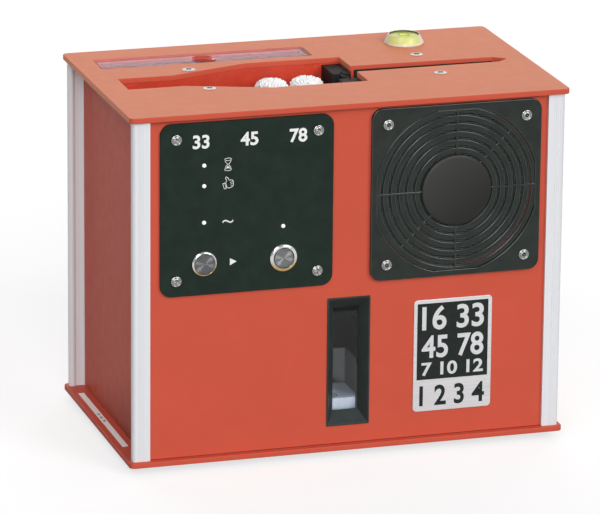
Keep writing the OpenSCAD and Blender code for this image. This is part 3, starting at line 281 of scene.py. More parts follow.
# %% Helper for procedural finishes
class Finish:
    def __init__(self, name, color, rough, metal=0.0, **sockets):
        self.material = bpy.data.materials.new(name)
        self.material.use_nodes = True
        self.tree = self.material.node_tree
        self.shader = self.tree.nodes["Principled BSDF"]
        self.color, self.rough = color, rough
        self.set("Base Color", (*color, 1))
        self.set("Roughness", rough)
        self.set("Metallic", metal)
        for socket, value in sockets.items():
            self.set(socket.replace("_", " "), value)
        self.place = self.add("ShaderNodeTexCoord").outputs["Object"]

    def set(self, socket, value):
        self.shader.inputs[socket].default_value = value

    def add(self, kind, **settings):
        node = self.tree.nodes.new(kind)
        for key, value in settings.items():
            setattr(node, key, value)
        return node

    def wire(self, source, target):
        self.tree.links.new(source, target)

    def at(self, stretch=(1, 1, 1), centre=(0, 0, 0)):
        """Object coordinates in mm, moved to a centre and stretched."""
        mapping = self.add("ShaderNodeMapping", vector_type="TEXTURE")
        mapping.inputs["Location"].default_value = Vector(centre) * MM
        mapping.inputs["Scale"].default_value = Vector(stretch) * MM
        self.wire(self.place, mapping.inputs["Vector"])
        return mapping.outputs["Vector"]

    def cloud(self, size, stretch=(1, 1, 1), detail=4.0, distort=0.0):
        """Noise whose spots are about size mm wide, from 0 to 1."""
        noise = self.add("ShaderNodeTexNoise")
        noise.inputs["Scale"].default_value = 1 / size
        noise.inputs["Detail"].default_value = detail
        noise.inputs["Distortion"].default_value = distort
        self.wire(self.at(stretch), noise.inputs["Vector"])
        return noise.outputs["Fac"]

    def slope(self, way, centre, reach):
        """From 0 to 1 along a direction, across reach mm to either side of a centre."""
        along = self.add("ShaderNodeVectorMath", operation="DOT_PRODUCT")
        along.inputs[1].default_value = Vector(way).normalized() / reach
        self.wire(self.at(centre=centre), along.inputs[0])
        spread = self.add("ShaderNodeMapRange")
        spread.inputs["From Min"].default_value = -1
        self.wire(along.outputs["Value"], spread.inputs["Value"])
        return spread.outputs["Result"]

    def ramp(self, value, stops):
        """A colour ramp over value; stops are (place, colour)."""
        ramp = self.add("ShaderNodeValToRGB")
        points = ramp.color_ramp.elements
        while len(points) < len(stops):
            points.new(0.5)
        for point, (place, color) in zip(points, stops):
            point.position = place
            point.color = (*color, 1) if hasattr(color, "__len__") else (color,) * 3 + (1,)
        self.wire(value, ramp.inputs["Fac"])
        return ramp.outputs["Color"]

    def tint(self, value, dark=0.85, light=1.12, low=0.35, high=0.65):
        """Shifts the base colour between a darker and a lighter tone."""
        tones = [tuple(min(1, c * k) for c in self.color) for k in (dark, light)]
        self.wire(self.ramp(value, [(low, tones[0]), (high, tones[1])]),
            self.shader.inputs["Base Color"])
        return self

    def gloss(self, value, spread):
        """Lets the roughness wander by spread around its own value."""
        reach = self.add("ShaderNodeMapRange")
        reach.inputs["From Min"].default_value = 0.3
        reach.inputs["From Max"].default_value = 0.7
        reach.inputs["To Min"].default_value = max(0.02, self.rough - spread)
        reach.inputs["To Max"].default_value = min(1, self.rough + spread)
        self.wire(value, reach.inputs["Value"])
        self.wire(reach.outputs["Result"], self.shader.inputs["Roughness"])
        return self

    def relief(self, value, depth, strength=1.0):
        """Lifts the surface by up to depth mm."""
        bump = self.add("ShaderNodeBump")
        bump.inputs["Strength"].default_value = strength
        bump.inputs["Distance"].default_value = depth * MM
        self.wire(value, bump.inputs["Height"])
        self.wire(bump.outputs["Normal"], self.shader.inputs["Normal"])
        return self


# %% [markdown]
# ## Red sheet, gloss red and the black sheets
# The red sheets have a satin coat with a faint cloudy mottle, best seen on the top plate where
# the light grazes it. A very fine orange peel breaks up the reflections. The top plate alone
# takes a warm sheen at a low angle, painted light that makes it lighter than the other red
# sheets. The left side panel carries painted shade towards its lower front corner, and the
# trough under the lid is a darker red of painted shade. The tub under the slot is the same red
# but moulded and glossy. The two black front plates lean to green, with a closed fine grain.

# %% Coated and moulded finishes
def red_coat(name, rough, **sockets):
    finish = Finish(name, (0.545, 0.080, 0.046), rough, Specular_IOR_Level=0.25,
        Specular_Tint=(1.0, 0.98, 0.80, 1), **sockets)
    finish.tint(finish.cloud(34, detail=3, distort=0.4), 0.98, 1.02)
    finish.gloss(finish.cloud(9, detail=5), 0.04)
    finish.relief(finish.cloud(0.55, detail=2), 0.02, 0.5)
    return finish


def painted_foot_shade(finish):
    """Paints shade on a red side panel, darker towards its lower front corner."""
    return finish.tint(finish.slope((0, 0.35, 1), (0, -30, 26), 34), 0.34, 1.0, 0.05, 0.95)


red_sheet = red_coat("red_satin_coat", 0.50)
# The top plate's sheen is painted light that makes it lighter than the other red sheets.
top_coat = red_coat("red_top_coat", 0.50, Sheen_Weight=0.36, Sheen_Roughness=0.45,
    Sheen_Tint=(1.0, 0.80, 0.42, 1))

# The left side panel's coat has painted shade at its lower front corner.
side_coat = painted_foot_shade(red_coat("red_side_coat", 0.50))

# Painted shade: the filter trough under the lid is a darker copy of the red.
trough_red = Finish("shaded_red_moulding", (0.32, 0.050, 0.040), 0.40,
    Specular_IOR_Level=0.3)
trough_red.tint(trough_red.cloud(18), 0.9, 1.08)
trough_red.relief(trough_red.cloud(2.5), 0.03, 0.4)

# Painted shade for the joint at the foot of the front panel.
joint_shade_red = Finish("painted_joint_shade", (0.16, 0.024, 0.016), 0.7, Specular_IOR_Level=0.1)
joint_shade_red.tint(joint_shade_red.cloud(6), 0.85, 1.15)

red_plastic = Finish("red_gloss_moulding", (0.56, 0.055, 0.028), 0.25,
    Specular_IOR_Level=0.35)
red_plastic.tint(red_plastic.cloud(18), 0.9, 1.08)
red_plastic.gloss(red_plastic.cloud(5), 0.08)
red_plastic.relief(red_plastic.cloud(2.5), 0.03, 0.4)

black_sheet = Finish("black_green_sheet", (0.013, 0.023, 0.018), 0.50,
    Specular_IOR_Level=0.10)
black_sheet.tint(black_sheet.cloud(12, detail=6), 0.88, 1.15)
black_sheet.gloss(black_sheet.cloud(3), 0.05)
black_sheet.relief(black_sheet.cloud(0.3, detail=2), 0.015, 0.6)

black_plastic = Finish("black_grained_plastic", (0.018, 0.023, 0.020), 0.42,
    Specular_IOR_Level=0.20)
black_plastic.tint(black_plastic.cloud(9), 0.85, 1.2)
black_plastic.gloss(black_plastic.cloud(2), 0.07)
black_plastic.relief(black_plastic.cloud(0.35, detail=3), 0.03, 0.6)

guard_edge = Finish("rubbed_guard_edge", (0.018, 0.022, 0.020), 0.16,
    Specular_IOR_Level=0.8)
guard_edge.tint(guard_edge.cloud(4), 0.85, 1.2)
guard_edge.gloss(guard_edge.cloud(3), 0.04)

# Painted light: the guard's middle is lighter towards the upper left and darker towards the lower
# right.
hub_painted_light = Finish("guard_middle", (0.020, 0.020, 0.018), 0.42, Specular_IOR_Level=0.26)
hub_painted_light.tint(hub_painted_light.slope((-1, 0, 1), (79.6, 0, 196.5), 24), 0.6, 1.6, 0.1, 0.95)
hub_painted_light.gloss(hub_painted_light.cloud(4), 0.05)
hub_painted_light.relief(hub_painted_light.cloud(0.4, detail=3), 0.02, 0.5)

frame_plastic = Finish("window_frame_plastic", (0.022, 0.030, 0.028), 0.42,
    Specular_IOR_Level=0.30)
frame_plastic.tint(frame_plastic.cloud(9), 0.88, 1.15)
frame_plastic.gloss(frame_plastic.cloud(2), 0.06)
frame_plastic.relief(frame_plastic.cloud(0.35, detail=3), 0.02, 0.5)

net_plastic = Finish("filter_net", (0.060, 0.072, 0.066), 0.6, Specular_IOR_Level=0.2)
net_plastic.tint(net_plastic.cloud(3), 0.85, 1.15)
net_plastic.relief(net_plastic.cloud(0.3), 0.02, 0.5)

wiper_plastic = Finish("wiper_block", (0.013, 0.013, 0.013), 0.55, Specular_IOR_Level=0.15)
wiper_plastic.tint(wiper_plastic.cloud(6), 0.85, 1.2)
wiper_plastic.relief(wiper_plastic.cloud(0.4, detail=3), 0.03, 0.6)

fan_plastic = Finish("fan_moulding", (0.075, 0.088, 0.083), 0.5,
    Specular_IOR_Level=0.3)
fan_plastic.tint(fan_plastic.cloud(6), 0.8, 1.3)
fan_plastic.gloss(fan_plastic.cloud(2), 0.08)
fan_plastic.relief(fan_plastic.cloud(1.2), 0.02, 0.5)

pump_plastic = Finish("pump_housing", (0.06, 0.08, 0.10), 0.45)
pump_plastic.tint(pump_plastic.cloud(8), 0.8, 1.2)
pump_plastic.relief(pump_plastic.cloud(0.6), 0.03, 0.6)

# The tank's plastic turns much darker above this height.
TANK_DARK_Z, TANK_DARK_EDGE = 66.5, 0.3
grey_plastic = Finish("grey_tank_plastic", (0.215, 0.205, 0.195), 0.45,
    Specular_IOR_Level=0.3)
grey_plastic.tint(grey_plastic.slope((0, 0, 1), (0, 0, TANK_DARK_Z), TANK_DARK_EDGE), 1.0, 0.38)
grey_plastic.gloss(grey_plastic.cloud(4), 0.1)
grey_plastic.relief(grey_plastic.cloud(1.5), 0.03, 0.4)

white_plastic = Finish("white_float_plastic", (0.72, 0.76, 0.84), 0.35,
    Subsurface_Weight=0.15, Subsurface_Radius=(0.002, 0.002, 0.002), Subsurface_Scale=1.0)
white_plastic.tint(white_plastic.cloud(6), 0.95, 1.03)
white_plastic.gloss(white_plastic.cloud(2), 0.06)
white_plastic.relief(white_plastic.cloud(0.8), 0.02, 0.4)
print("coated and moulded finishes:", len(bpy.data.materials))

# %% [markdown]
# ## Metals
# The posts are extruded and anodised, with faint lines drawn along their length: a grain that
# is stretched many times along Z. Screws, switch rings and caps are turned, so their lines run
# round. A turned face has an anisotropic gloss, which makes the bright fans that swing with
# the light, and a radial tangent points that gloss around the axis.

# %% Metal finishes
post_metal = Finish("anodised_post", (0.71, 0.72, 0.745), 0.52, metal=0.20)
post_metal.tint(post_metal.cloud(1.6, (1, 1, 400), detail=3), 0.96, 1.03)
post_metal.gloss(post_metal.cloud(0.7, (1, 1, 150)), 0.05)
post_metal.relief(post_metal.cloud(0.25, (1, 1, 900), detail=2), 0.012, 0.5)

steel = Finish("bright_steel", (0.37, 0.37, 0.36), 0.24, metal=1.0)
steel.tint(steel.cloud(2.4), 0.93, 1.05)
steel.gloss(steel.cloud(1.2), 0.04)
steel.relief(steel.cloud(0.3, detail=2), 0.004, 0.3)

ring_metal = Finish("polished_ring", (0.74, 0.73, 0.70), 0.12, metal=1.0)
ring_metal.tint(ring_metal.cloud(3), 0.9, 1.05)
ring_metal.gloss(ring_metal.cloud(0.8), 0.04)
ring_metal.relief(ring_metal.cloud(0.3, detail=2), 0.004, 0.3)

motor_metal = Finish("zinc_plated_can", (0.45, 0.46, 0.47), 0.38, metal=0.9)
motor_metal.tint(motor_metal.cloud(5, distort=1.5), 0.8, 1.15)
motor_metal.gloss(motor_metal.cloud(2), 0.1)

brass = Finish("cut_brass", (0.70, 0.50, 0.22), 0.28, metal=1.0)
brass.tint(brass.cloud(2), 0.85, 1.1)
brass.relief(brass.cloud(0.3, (1, 1, 8)), 0.01, 0.4)

label_metal = Finish("white_foil_label", (0.95, 0.96, 0.95), 0.38)
label_metal.tint(label_metal.cloud(0.8, (1, 60, 1)), 0.96, 1.02)
label_metal.gloss(label_metal.cloud(2), 0.06)

badge_metal = Finish("brushed_badge", (0.72, 0.72, 0.735), 0.34, metal=0.6)
badge_metal.tint(badge_metal.cloud(0.5, (80, 1, 1)), 0.93, 1.05)
badge_metal.gloss(badge_metal.cloud(0.6, (40, 1, 1)), 0.06)
badge_metal.relief(badge_metal.cloud(0.2, (200, 1, 1)), 0.006, 0.4)


def turned_face(name, color, rough, centre):
    """Steel with fine rings around a centre in the XZ plane and a gloss that fans out."""
    finish = Finish(name, color, rough, metal=1.0, Anisotropic=0.97)
    tangent = finish.add("ShaderNodeTangent", direction_type="RADIAL", axis="Y")
    finish.wire(tangent.outputs["Tangent"], finish.shader.inputs["Tangent"])
    rings = finish.add("ShaderNodeTexWave", wave_type="RINGS", rings_direction="Y")
    rings.inputs["Scale"].default_value = 0.8
    rings.inputs["Distortion"].default_value = 0.6
    rings.inputs["Detail"].default_value = 3
    finish.wire(finish.at(centre=centre), rings.inputs["Vector"])
    finish.tint(rings.outputs["Fac"], 0.86, 1.08, 0.2, 0.8)
    finish.relief(rings.outputs["Fac"], 0.004, 0.5)
    return finish


def plated_ring(name, centre, radius):
    """A polished nickel ring with a warm brass tone on its lower part."""
    finish = Finish(name, (0.80, 0.79, 0.76), 0.13, metal=1.0)
    lower_part = finish.slope((0.12, 0, -1), centre, radius)
    finish.wire(finish.ramp(lower_part, [(0.50, (0.80, 0.79, 0.76)), (0.82, (0.62, 0.46, 0.20))]),
        finish.shader.inputs["Base Color"])
    finish.gloss(finish.cloud(0.8), 0.04)
    finish.relief(finish.cloud(0.3, detail=2), 0.004, 0.3)
    return finish


print("finishes so far:", len(bpy.data.materials))

# %% [markdown]
# ## Clear, soft and odd finishes
# Clear plastic is transmission with a little haze, never full glass, so that what lies behind
# it stays readable. The level's liquid is yellow-green and lets some light through. Rubber is
# nearly black and dull. Pile and foam scatter light, which a sheen imitates on the pile.

# %% Clear, soft and remaining finishes
clear_plastic = Finish("clear_pane", (0.90, 0.94, 0.97), 0.05,
    Transmission_Weight=1.0, IOR=1.30)
clear_plastic.gloss(clear_plastic.cloud(6), 0.04)

vial_plastic = Finish("cloudy_vial", (0.90, 0.93, 0.46), 0.16,
    Transmission_Weight=0.30, IOR=1.38, Subsurface_Weight=0.3,
    Subsurface_Radius=(0.004, 0.004, 0.002), Subsurface_Scale=1.0)
# Painted sheen: the vial turns pale cream where it is seen edge on, and it is milky at its thick
# bottom rim.
edge_on_sheen = vial_plastic.add("ShaderNodeLayerWeight").outputs["Facing"]
milk_and_sheen = vial_plastic.add("ShaderNodeMath", operation="MAXIMUM")
vial_plastic.wire(vial_plastic.ramp(edge_on_sheen, [(0.34, 0.0), (0.62, 1.0)]), milk_and_sheen.inputs[0])
vial_plastic.wire(vial_plastic.ramp(vial_plastic.slope((0, 0, -1), (0, 0, 268.7), 1.0),
    [(0.2, 0.0), (0.7, 1.0)]), milk_and_sheen.inputs[1])
vial_plastic.wire(vial_plastic.ramp(milk_and_sheen.outputs["Value"],
    [(0.0, (0.88, 0.96, 0.34)), (1.0, (1.0, 0.95, 0.80))]),
    vial_plastic.shader.inputs["Base Color"])
vial_plastic.gloss(vial_plastic.cloud(3), 0.05)

lid_plastic = Finish("clear_lilac_lid", (0.69, 0.57, 0.65), 0.08,
    Transmission_Weight=1.0, IOR=1.12)
lid_plastic.gloss(lid_plastic.cloud(9), 0.05)

level_liquid = Finish("level_liquid", (0.76, 0.82, 0.17), 0.15,
    Transmission_Weight=0.10, IOR=1.33, Subsurface_Weight=0.3,
    Subsurface_Radius=(0.004, 0.004, 0.001), Subsurface_Scale=1.0)
level_liquid.tint(level_liquid.cloud(6), 0.94, 1.06)

lamp_white = Finish("lamp_lens", (0.86, 0.86, 0.84), 0.22, Subsurface_Weight=0.4,
    Subsurface_Radius=(0.001, 0.001, 0.001), Subsurface_Scale=1.0,
    Emission_Color=(1, 1, 0.97, 1), Emission_Strength=0.25)
lamp_white.tint(lamp_white.cloud(1), 0.96, 1.02)

rubber = Finish("black_rubber", (0.018, 0.018, 0.019), 0.62)
rubber.tint(rubber.cloud(3), 0.75, 1.35)
rubber.relief(rubber.cloud(0.25), 0.03, 0.7)

roller_rubber = Finish("ground_roller", (0.035, 0.036, 0.039), 0.55)
roller_rubber.tint(roller_rubber.cloud(2, (1, 0.2, 1)), 0.8, 1.3)
roller_rubber.relief(roller_rubber.cloud(0.3, (3, 1, 3)), 0.03, 0.7)

microfibre = Finish("white_microfibre", (0.96, 0.97, 0.96), 0.92,
    Sheen_Weight=0.6, Sheen_Roughness=0.5, Subsurface_Weight=0.25,
    Subsurface_Radius=(0.002, 0.002, 0.002), Subsurface_Scale=1.0)
microfibre.tint(microfibre.cloud(2.5, detail=6), 0.95, 1.03)
microfibre.relief(microfibre.cloud(0.35), 0.06, 0.7)

filter_foam = Finish("open_foam", (0.12, 0.028, 0.034), 0.95, Specular_IOR_Level=0.05)
pores = filter_foam.add("ShaderNodeTexVoronoi", feature="F1")
pores.inputs["Scale"].default_value = 0.9
filter_foam.wire(filter_foam.at(), pores.inputs["Vector"])
filter_foam.tint(pores.outputs["Distance"], 1.08, 0.72, 0.1, 0.9)
filter_foam.relief(pores.outputs["Distance"], -0.5, 0.8)

spindle_plastic = Finish("spindle_plastic", (0.60, 0.61, 0.62), 0.4)
spindle_plastic.tint(spindle_plastic.cloud(4), 0.9, 1.08)
spindle_plastic.relief(spindle_plastic.cloud(0.5), 0.02, 0.5)

board_green = Finish("solder_mask", (0.015, 0.13, 0.055), 0.3)
tracks = board_green.add("ShaderNodeTexBrick")
tracks.inputs["Scale"].default_value = 0.08
board_green.wire(board_green.at((1, 1, 1)), tracks.inputs["Vector"])
board_green.tint(tracks.outputs["Fac"], 0.9, 1.5, 0.2, 0.8)

print_white = Finish("white_print", (0.80, 0.81, 0.80), 0.55)
print_white.tint(print_white.cloud(0.6), 0.92, 1.03)

print_black = Finish("black_print", (0.016, 0.021, 0.019), 0.5, Specular_IOR_Level=0.12)
print_black.tint(print_black.cloud(2), 0.85, 1.15)

# %% [markdown]
# ## Every CAD node gets its finish
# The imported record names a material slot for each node, so one loop dresses the whole frame.
# Pieces that need more shape than CAD holds replace their node further down.

# %% Dress the CAD nodes
slots = {
    "red_sheet": red_sheet, "red_plastic": red_plastic, "post_metal": post_metal,
    "rubber": rubber, "roller_rubber": roller_rubber, "steel": steel,
    "label_metal": label_metal, "badge": badge_metal, "black_sheet": black_sheet,
    "black_plastic": black_plastic, "fan_plastic": fan_plastic, "lamp_white": lamp_white,
    "bright_metal": ring_metal, "clear_plastic": clear_plastic,
    "vial_plastic": vial_plastic, "lid_plastic": lid_plastic,
    "level_liquid": level_liquid, "white_plastic": white_plastic,
    "grey_plastic": grey_plastic, "brass": brass, "spindle_plastic": spindle_plastic,
    "motor_metal": motor_metal, "microfibre": microfibre, "filter_foam": filter_foam,
    "pump_plastic": pump_plastic, "board_green": board_green}
for part in frame["record"]["subparts"]:
    node = nodes[part["node"]]
    node.data.materials.clear()
    node.data.materials.append(slots[part["material_slot"]].material)
# The left panel takes the coat with painted shade at its foot, and the trough takes the darker red
# of painted shade.
for node, finish in (("left_panel", side_coat), ("filter_trough", trough_red)):
    nodes[node].data.materials[0] = finish.material


def coated(piece, *finishes):
    """Gives a piece its finishes, the first one all over."""
    piece.data.materials.clear()
    for finish in finishes:
        piece.data.materials.append(finish.material)
    return piece


def dress(piece, finish, slot, body, *replaced):
    """Gives a new piece its body and finish, and hides the CAD nodes it stands for."""
    if finish:
        coated(piece, finish)
    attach(piece, body)
    if replaced:
        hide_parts(*replaced)
    print(piece.name, triangles(piece), "triangles")
    return piece


def box_mm(node):
    low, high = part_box(node)
    return low / MM, high / MM


# %% [markdown]
# ## Plates with eased edges
# A machined plate never has a razor edge: the corners are broken by half a millimetre, and
# that thin strip catches the light all along the case. CAD gives the exact outline, so the
# quickest honest way is a merged copy of its mesh with a bevel on every sharp edge. The clear
# lid casts no shadow, because a thin clear sheet lets nearly all of the light through.

# %% Ease the plates, the lid and the wiper blocks
dress(eased_node("top_plate", "top_plate_eased", 0.5), top_coat, "red_sheet",
    "chassis", "top_plate")
dress(eased_node("base_plate", "base_plate_eased", 0.5), red_sheet, "red_sheet",
    "chassis", "base_plate")
dress(eased_node("control_plate", "control_plate_eased", 0.25), black_sheet,
    "black_sheet", "chassis", "control_plate")
clear_lid = eased_node("filter_lid", "clear_lid", 0.3)
dress(clear_lid, lid_plastic, "lid_plastic", "lid", "filter_lid")
clear_lid.visible_shadow = False
dress(eased_node("wiper_blocks", "wiper_blocks_eased", 0.6), wiper_plastic,
    "black_plastic", "chassis", "wiper_blocks")

# %% [markdown]
# ## Joint strips
# Where sheets meet, the real case shows thin dark lines. One is the shade in the joint between the
# front panel and the base, laid as a thin strip of painted shade. The other is the black rim of
# the drying duct, which stands a millimetre into the narrow end of the slot and tapers with it.

# %% Lay the joint strips
front_low, front_high = box_mm("front_panel")
# A thin dark red strip of painted shade along the foot of the front panel.
foot_joint = block("foot_joint", (front_low.x, front_low.y - 0.04, front_low.z),
    (front_high.x, front_low.y + 0.3, front_low.z + 0.45))
dress(foot_joint, joint_shade_red, "red_sheet", "chassis")
SLOT_Y, SLOT_HALF, SLOT_TAPER = -2.0, 8.0, 1.12
DUCT_RIM = 1.1
SLOT_START, SLOT_END = 33.0, 140.0
duct_top = box_mm("drying_duct")[1].z
rims = []
for side in (-1, 1):
    wall = SLOT_Y + side * (SLOT_HALF - 0.02)
    rim = block("duct_rim", (SLOT_START, min(wall, wall - side * 0.3), duct_top - 0.1),
        (SLOT_END, max(wall, wall - side * 0.3), duct_top + DUCT_RIM))
    edit(rim)
    pick("FACE", lambda p, d: d.x > 0.99)
    bpy.ops.transform.translate(value=(0, -side * SLOT_TAPER * MM, 0))
    done()
    rims.append(rim)
dress(joined("duct_rims", rims), black_plastic, "black_plastic", "chassis")

# %% [markdown]
# ## Screws
# All visible screws are stainless and have a deep hexagon socket. One head is turned with a
# flat outer ring, a groove and an inner dome, its socket is cut by a six-sided bar, and a small
# pin stands in it, which gives the bright dot. Copies go to every place.

# %% Turn one screw head and copy it
def screw_head(name, foot, way, diameter, height, socket, depth, pin_r=0.45):
    """A head that stands on foot, with a groove, a hexagon socket and a pin in it."""
    r = diameter / 2
    neck = socket / 2 + 0.4
    head = turned(name, (0, 0, 0), UPWARD, [(neck, height - depth - 0.5), (neck, 0),
        (r - 0.2, 0), (r, 0.2), (r, height * 0.45), (r * 0.95, height * 0.68),
        (r * 0.80, height * 0.80), (r * 0.75, height * 0.62), (r * 0.69, height * 0.62),
        (r * 0.64, height * 0.86), (r * 0.50, height)], 48)
    bar = turned("socket_bar", (0, 0, height - depth), UPWARD,
        [(socket / 2, 0), (socket / 2, depth + 1)], 6)
    cut(head, bar)
    ease(head, 0.08, 1, 40)
    pin = turned("socket_pin", (0, 0, height - depth - 0.1), UPWARD,
        [(pin_r, 0), (pin_r, depth - 0.2), (pin_r - 0.2, depth - 0.05)], 16)
    head = joined(name, [head, pin])
    head.matrix_world = Matrix.Translation(Vector(foot) * MM) @ way
    return settle(head)


def corners_of(low, high, inset):
    """The four corners of a box seen from the front, moved in by inset."""
    return [(x, z) for x in (low.x + inset, high.x - inset)
        for z in (low.z + inset, high.z - inset)]


plate_low, plate_high = box_mm("control_plate")
guard_low, guard_high = box_mm("front_fan_guard")
rear_guard_low, rear_guard_high = box_mm("rear_fan_guard")
SCREW_INSET = 11.7
GUARD_T = 3
FAN_LAP = 4.4
guard_face = guard_high.y - GUARD_T
heads = []
first_head = screw_head("plate_screw", (0, 0, 0), FRONT, 8, 1.7, 3.2, 3.2)
for x, z in corners_of(plate_low, plate_high, SCREW_INSET):
    heads.append(copied(first_head, "plate_screw", (x, plate_low.y, z)))
for x, z in corners_of(guard_low, guard_high, SCREW_INSET + 0.2):
    heads.append(copied(first_head, "guard_screw", (x, guard_face, z)))
front_heads = joined("front_screw_heads", heads)
dress(front_heads, steel, "steel", "chassis", "front_plate_screws")
bpy.data.objects.remove(first_head)

rear_heads = []
first_head = screw_head("plate_screw", (0, 0, 0), REAR, 8, 1.7, 3.2, 3.2)
for x, z in corners_of(rear_guard_low, rear_guard_high, SCREW_INSET + 0.2):
    rear_heads.append(copied(first_head, "guard_screw", (x, rear_guard_low.y + GUARD_T, z)))
bpy.data.objects.remove(first_head)
dress(joined("rear_screw_heads", rear_heads), steel, "steel", "chassis", "rear_guard_screws")

top_low, top_high = box_mm("top_plate")
screws_low, screws_high = box_mm("top_screws")
TOP_HEAD = 9.5
first_head = screw_head("top_screw", (0, 0, 0), UPWARD, TOP_HEAD, 0.7, 4.6, 2.6, 0.75)
top_heads = [copied(first_head, "top_screw", (x, y, top_high.z))
    for x in (screws_low.x + TOP_HEAD / 2, screws_high.x - TOP_HEAD / 2)
    for y in (screws_low.y + TOP_HEAD / 2, screws_high.y - TOP_HEAD / 2)]
bpy.data.objects.remove(first_head)
dress(joined("top_screw_heads", top_heads), ring_metal, "steel", "chassis", "top_screws")

# %% [markdown]
# ## Fan guard
# The guard is one moulding: a square frame with round corners, six flat rings around a closed
# middle, four upright spokes and four thinner ones between them, set back. It is built like
# that here: each ring is its own hollow turning with rounded edges, which gives the thin
# bright arcs of the real one, and the outer ring is cut square where it meets the frame. The
# rounded strips are a little glossier, as handled edges are. Behind the rings lies a fine
# dust net, one strand that is repeated and trimmed to the round opening.

# %% Build the guard once and mirror it for the rear
RING_PITCH, RING_W, RINGS = 6.05, 3.9, 6
HUB_R, HUB_GAP, RIM_GAP = 26.35, 1.3, 0.5
FIRST_RING = HUB_R + HUB_GAP
RIM_R = FIRST_RING + (RINGS - 1) * RING_PITCH + RING_W + RIM_GAP
guard_middle = (guard_low + guard_high) / 2
guard_half = (guard_high.x - guard_low.x) / 2
opening_half = guard_half - FAN_LAP


def guard_frame():
    frame_plate = block("frame_plate", (-guard_half, -GUARD_T, -guard_half),
        (guard_half, 0, guard_half))
    round_corners(frame_plate, 8, Vector((0, 1, 0)), 10)
    hole = turned("hole", (0, 5, 0), FRONT, [(RIM_R, 0), (RIM_R, 12)], 128)
    square = block("square", (-opening_half, -8, -opening_half), (opening_half, 8, opening_half))
    cut(hole, square, "INTERSECT")
    cut(frame_plate, hole)
    return ease(coated(frame_plate, black_plastic, guard_edge), 0.5, 3, edge_slot=1)


def guard_ring(index):
    inner = FIRST_RING + index * RING_PITCH
    outer = inner + RING_W
    back_y, face_y = 0.6, 2.4
    ring = turned("ring", (0, 0, 0), FRONT, [(inner, back_y), (outer, back_y),
        (outer, face_y), (inner, face_y)], 128, hollow=True)
    if outer > opening_half:
        cut(ring, block("square", (-opening_half, -8, -opening_half),
            (opening_half, 8, opening_half)), "INTERSECT")
    return ease(coated(ring, black_plastic, guard_edge), 0.5, 3, edge_slot=1)


def guard_spoke(angle, depth, thick):
    bar = block("spoke", (HUB_R - 0.5, -depth, -thick / 2), (RIM_R, 0, thick / 2))
    ease(coated(bar, black_plastic, guard_edge), 0.3, 2, edge_slot=1)
    bar.matrix_world = Matrix.Rotation(math.radians(angle), 4, "Y")
    settle(bar)
    limit = opening_half + 0.5
    return cut(bar, block("square", (-limit, -8, -limit), (limit, 8, limit)), "INTERSECT")


def dust_net():
    """Thin strands both ways, trimmed to the round opening."""
    reach = RIM_R + 0.2
    count = int(reach / NET_PITCH)
    nets = []
    for step, way in ((0.0, 0), (NET_W, 90)):
        strand = block("strand", (-count * NET_PITCH, -NET_W - step, -reach),
            (-count * NET_PITCH + NET_W, -step, reach))
        apply(strand, "ARRAY", count=2 * count, use_relative_offset=False,
            use_constant_offset=True, constant_offset_displace=(NET_PITCH * MM, 0, 0))
        for vertex in strand.data.vertices:
            across = min(abs(vertex.co.x / MM) + NET_W, reach)
            half = min(math.sqrt(reach * reach - across * across) + 0.01, opening_half)
            vertex.co.z = math.copysign(half * MM, vertex.co.z)
        strand.matrix_world = Matrix.Rotation(math.radians(way), 4, "Y")
        nets.append(settle(strand))
    return coated(joined("dust_net", nets), net_plastic)


NET_PITCH, NET_W = 1.5, 0.42
hub = turned("hub", (0, 0, 0), FRONT, [(HUB_R - 0.6, 0), (HUB_R - 0.2, 0.3), (HUB_R, 3.2),
    (HUB_R - 0.25, 3.8), (HUB_R - 0.9, 4.15), (HUB_R - 2.2, 4.32), (HUB_R - 8, 4.7),
    (HUB_R - 16, 4.93), (3, 5.0)], 128)
bpy.ops.object.shade_smooth_by_angle(angle=math.radians(40))
coated(hub, hub_painted_light)
guard_parts = [guard_frame(), hub] + [guard_ring(i) for i in range(RINGS)]
guard_parts += [guard_spoke(a, 2.75, 1.3) for a in (0, 90, 180, 270)]
guard_parts += [guard_spoke(a, 1.5, 1.1) for a in (45, 135, 225, 315)]
guard_parts.append(dust_net())
guard = joined("fan_guard", guard_parts)
rear_guard = copied(guard, "rear_fan_guard_moulding", (0, 0, 0))
guard.matrix_world = Matrix.Translation(Vector((guard_middle.x, guard_high.y, guard_middle.z)) * MM)
settle(guard)
edit(rear_guard)
bpy.ops.mesh.select_all(action="SELECT")
bpy.ops.transform.mirror(constraint_axis=(False, True, False), center_override=(0, 0, 0))
bpy.ops.mesh.normals_make_consistent(inside=False)
done()
rear_guard.matrix_world = Matrix.Translation(
    Vector((guard_middle.x, rear_guard_low.y, guard_middle.z)) * MM)
settle(rear_guard)
dress(guard, None, "black_plastic", "chassis", "front_fan_guard")
dress(rear_guard, None, "black_plastic", "chassis", "rear_fan_guard")

# %% [markdown]
# ## Fan rotor
# Behind the guard turns a small axial fan. Its hub is a turned cup, and each blade is a thin
# plate that is twisted from root to tip and swept forward, as on every such fan.

# %% Turn the hub and twist the blades
BLADES = 7
BLADE_ROOT, BLADE_TIP = 18.0, 53.0


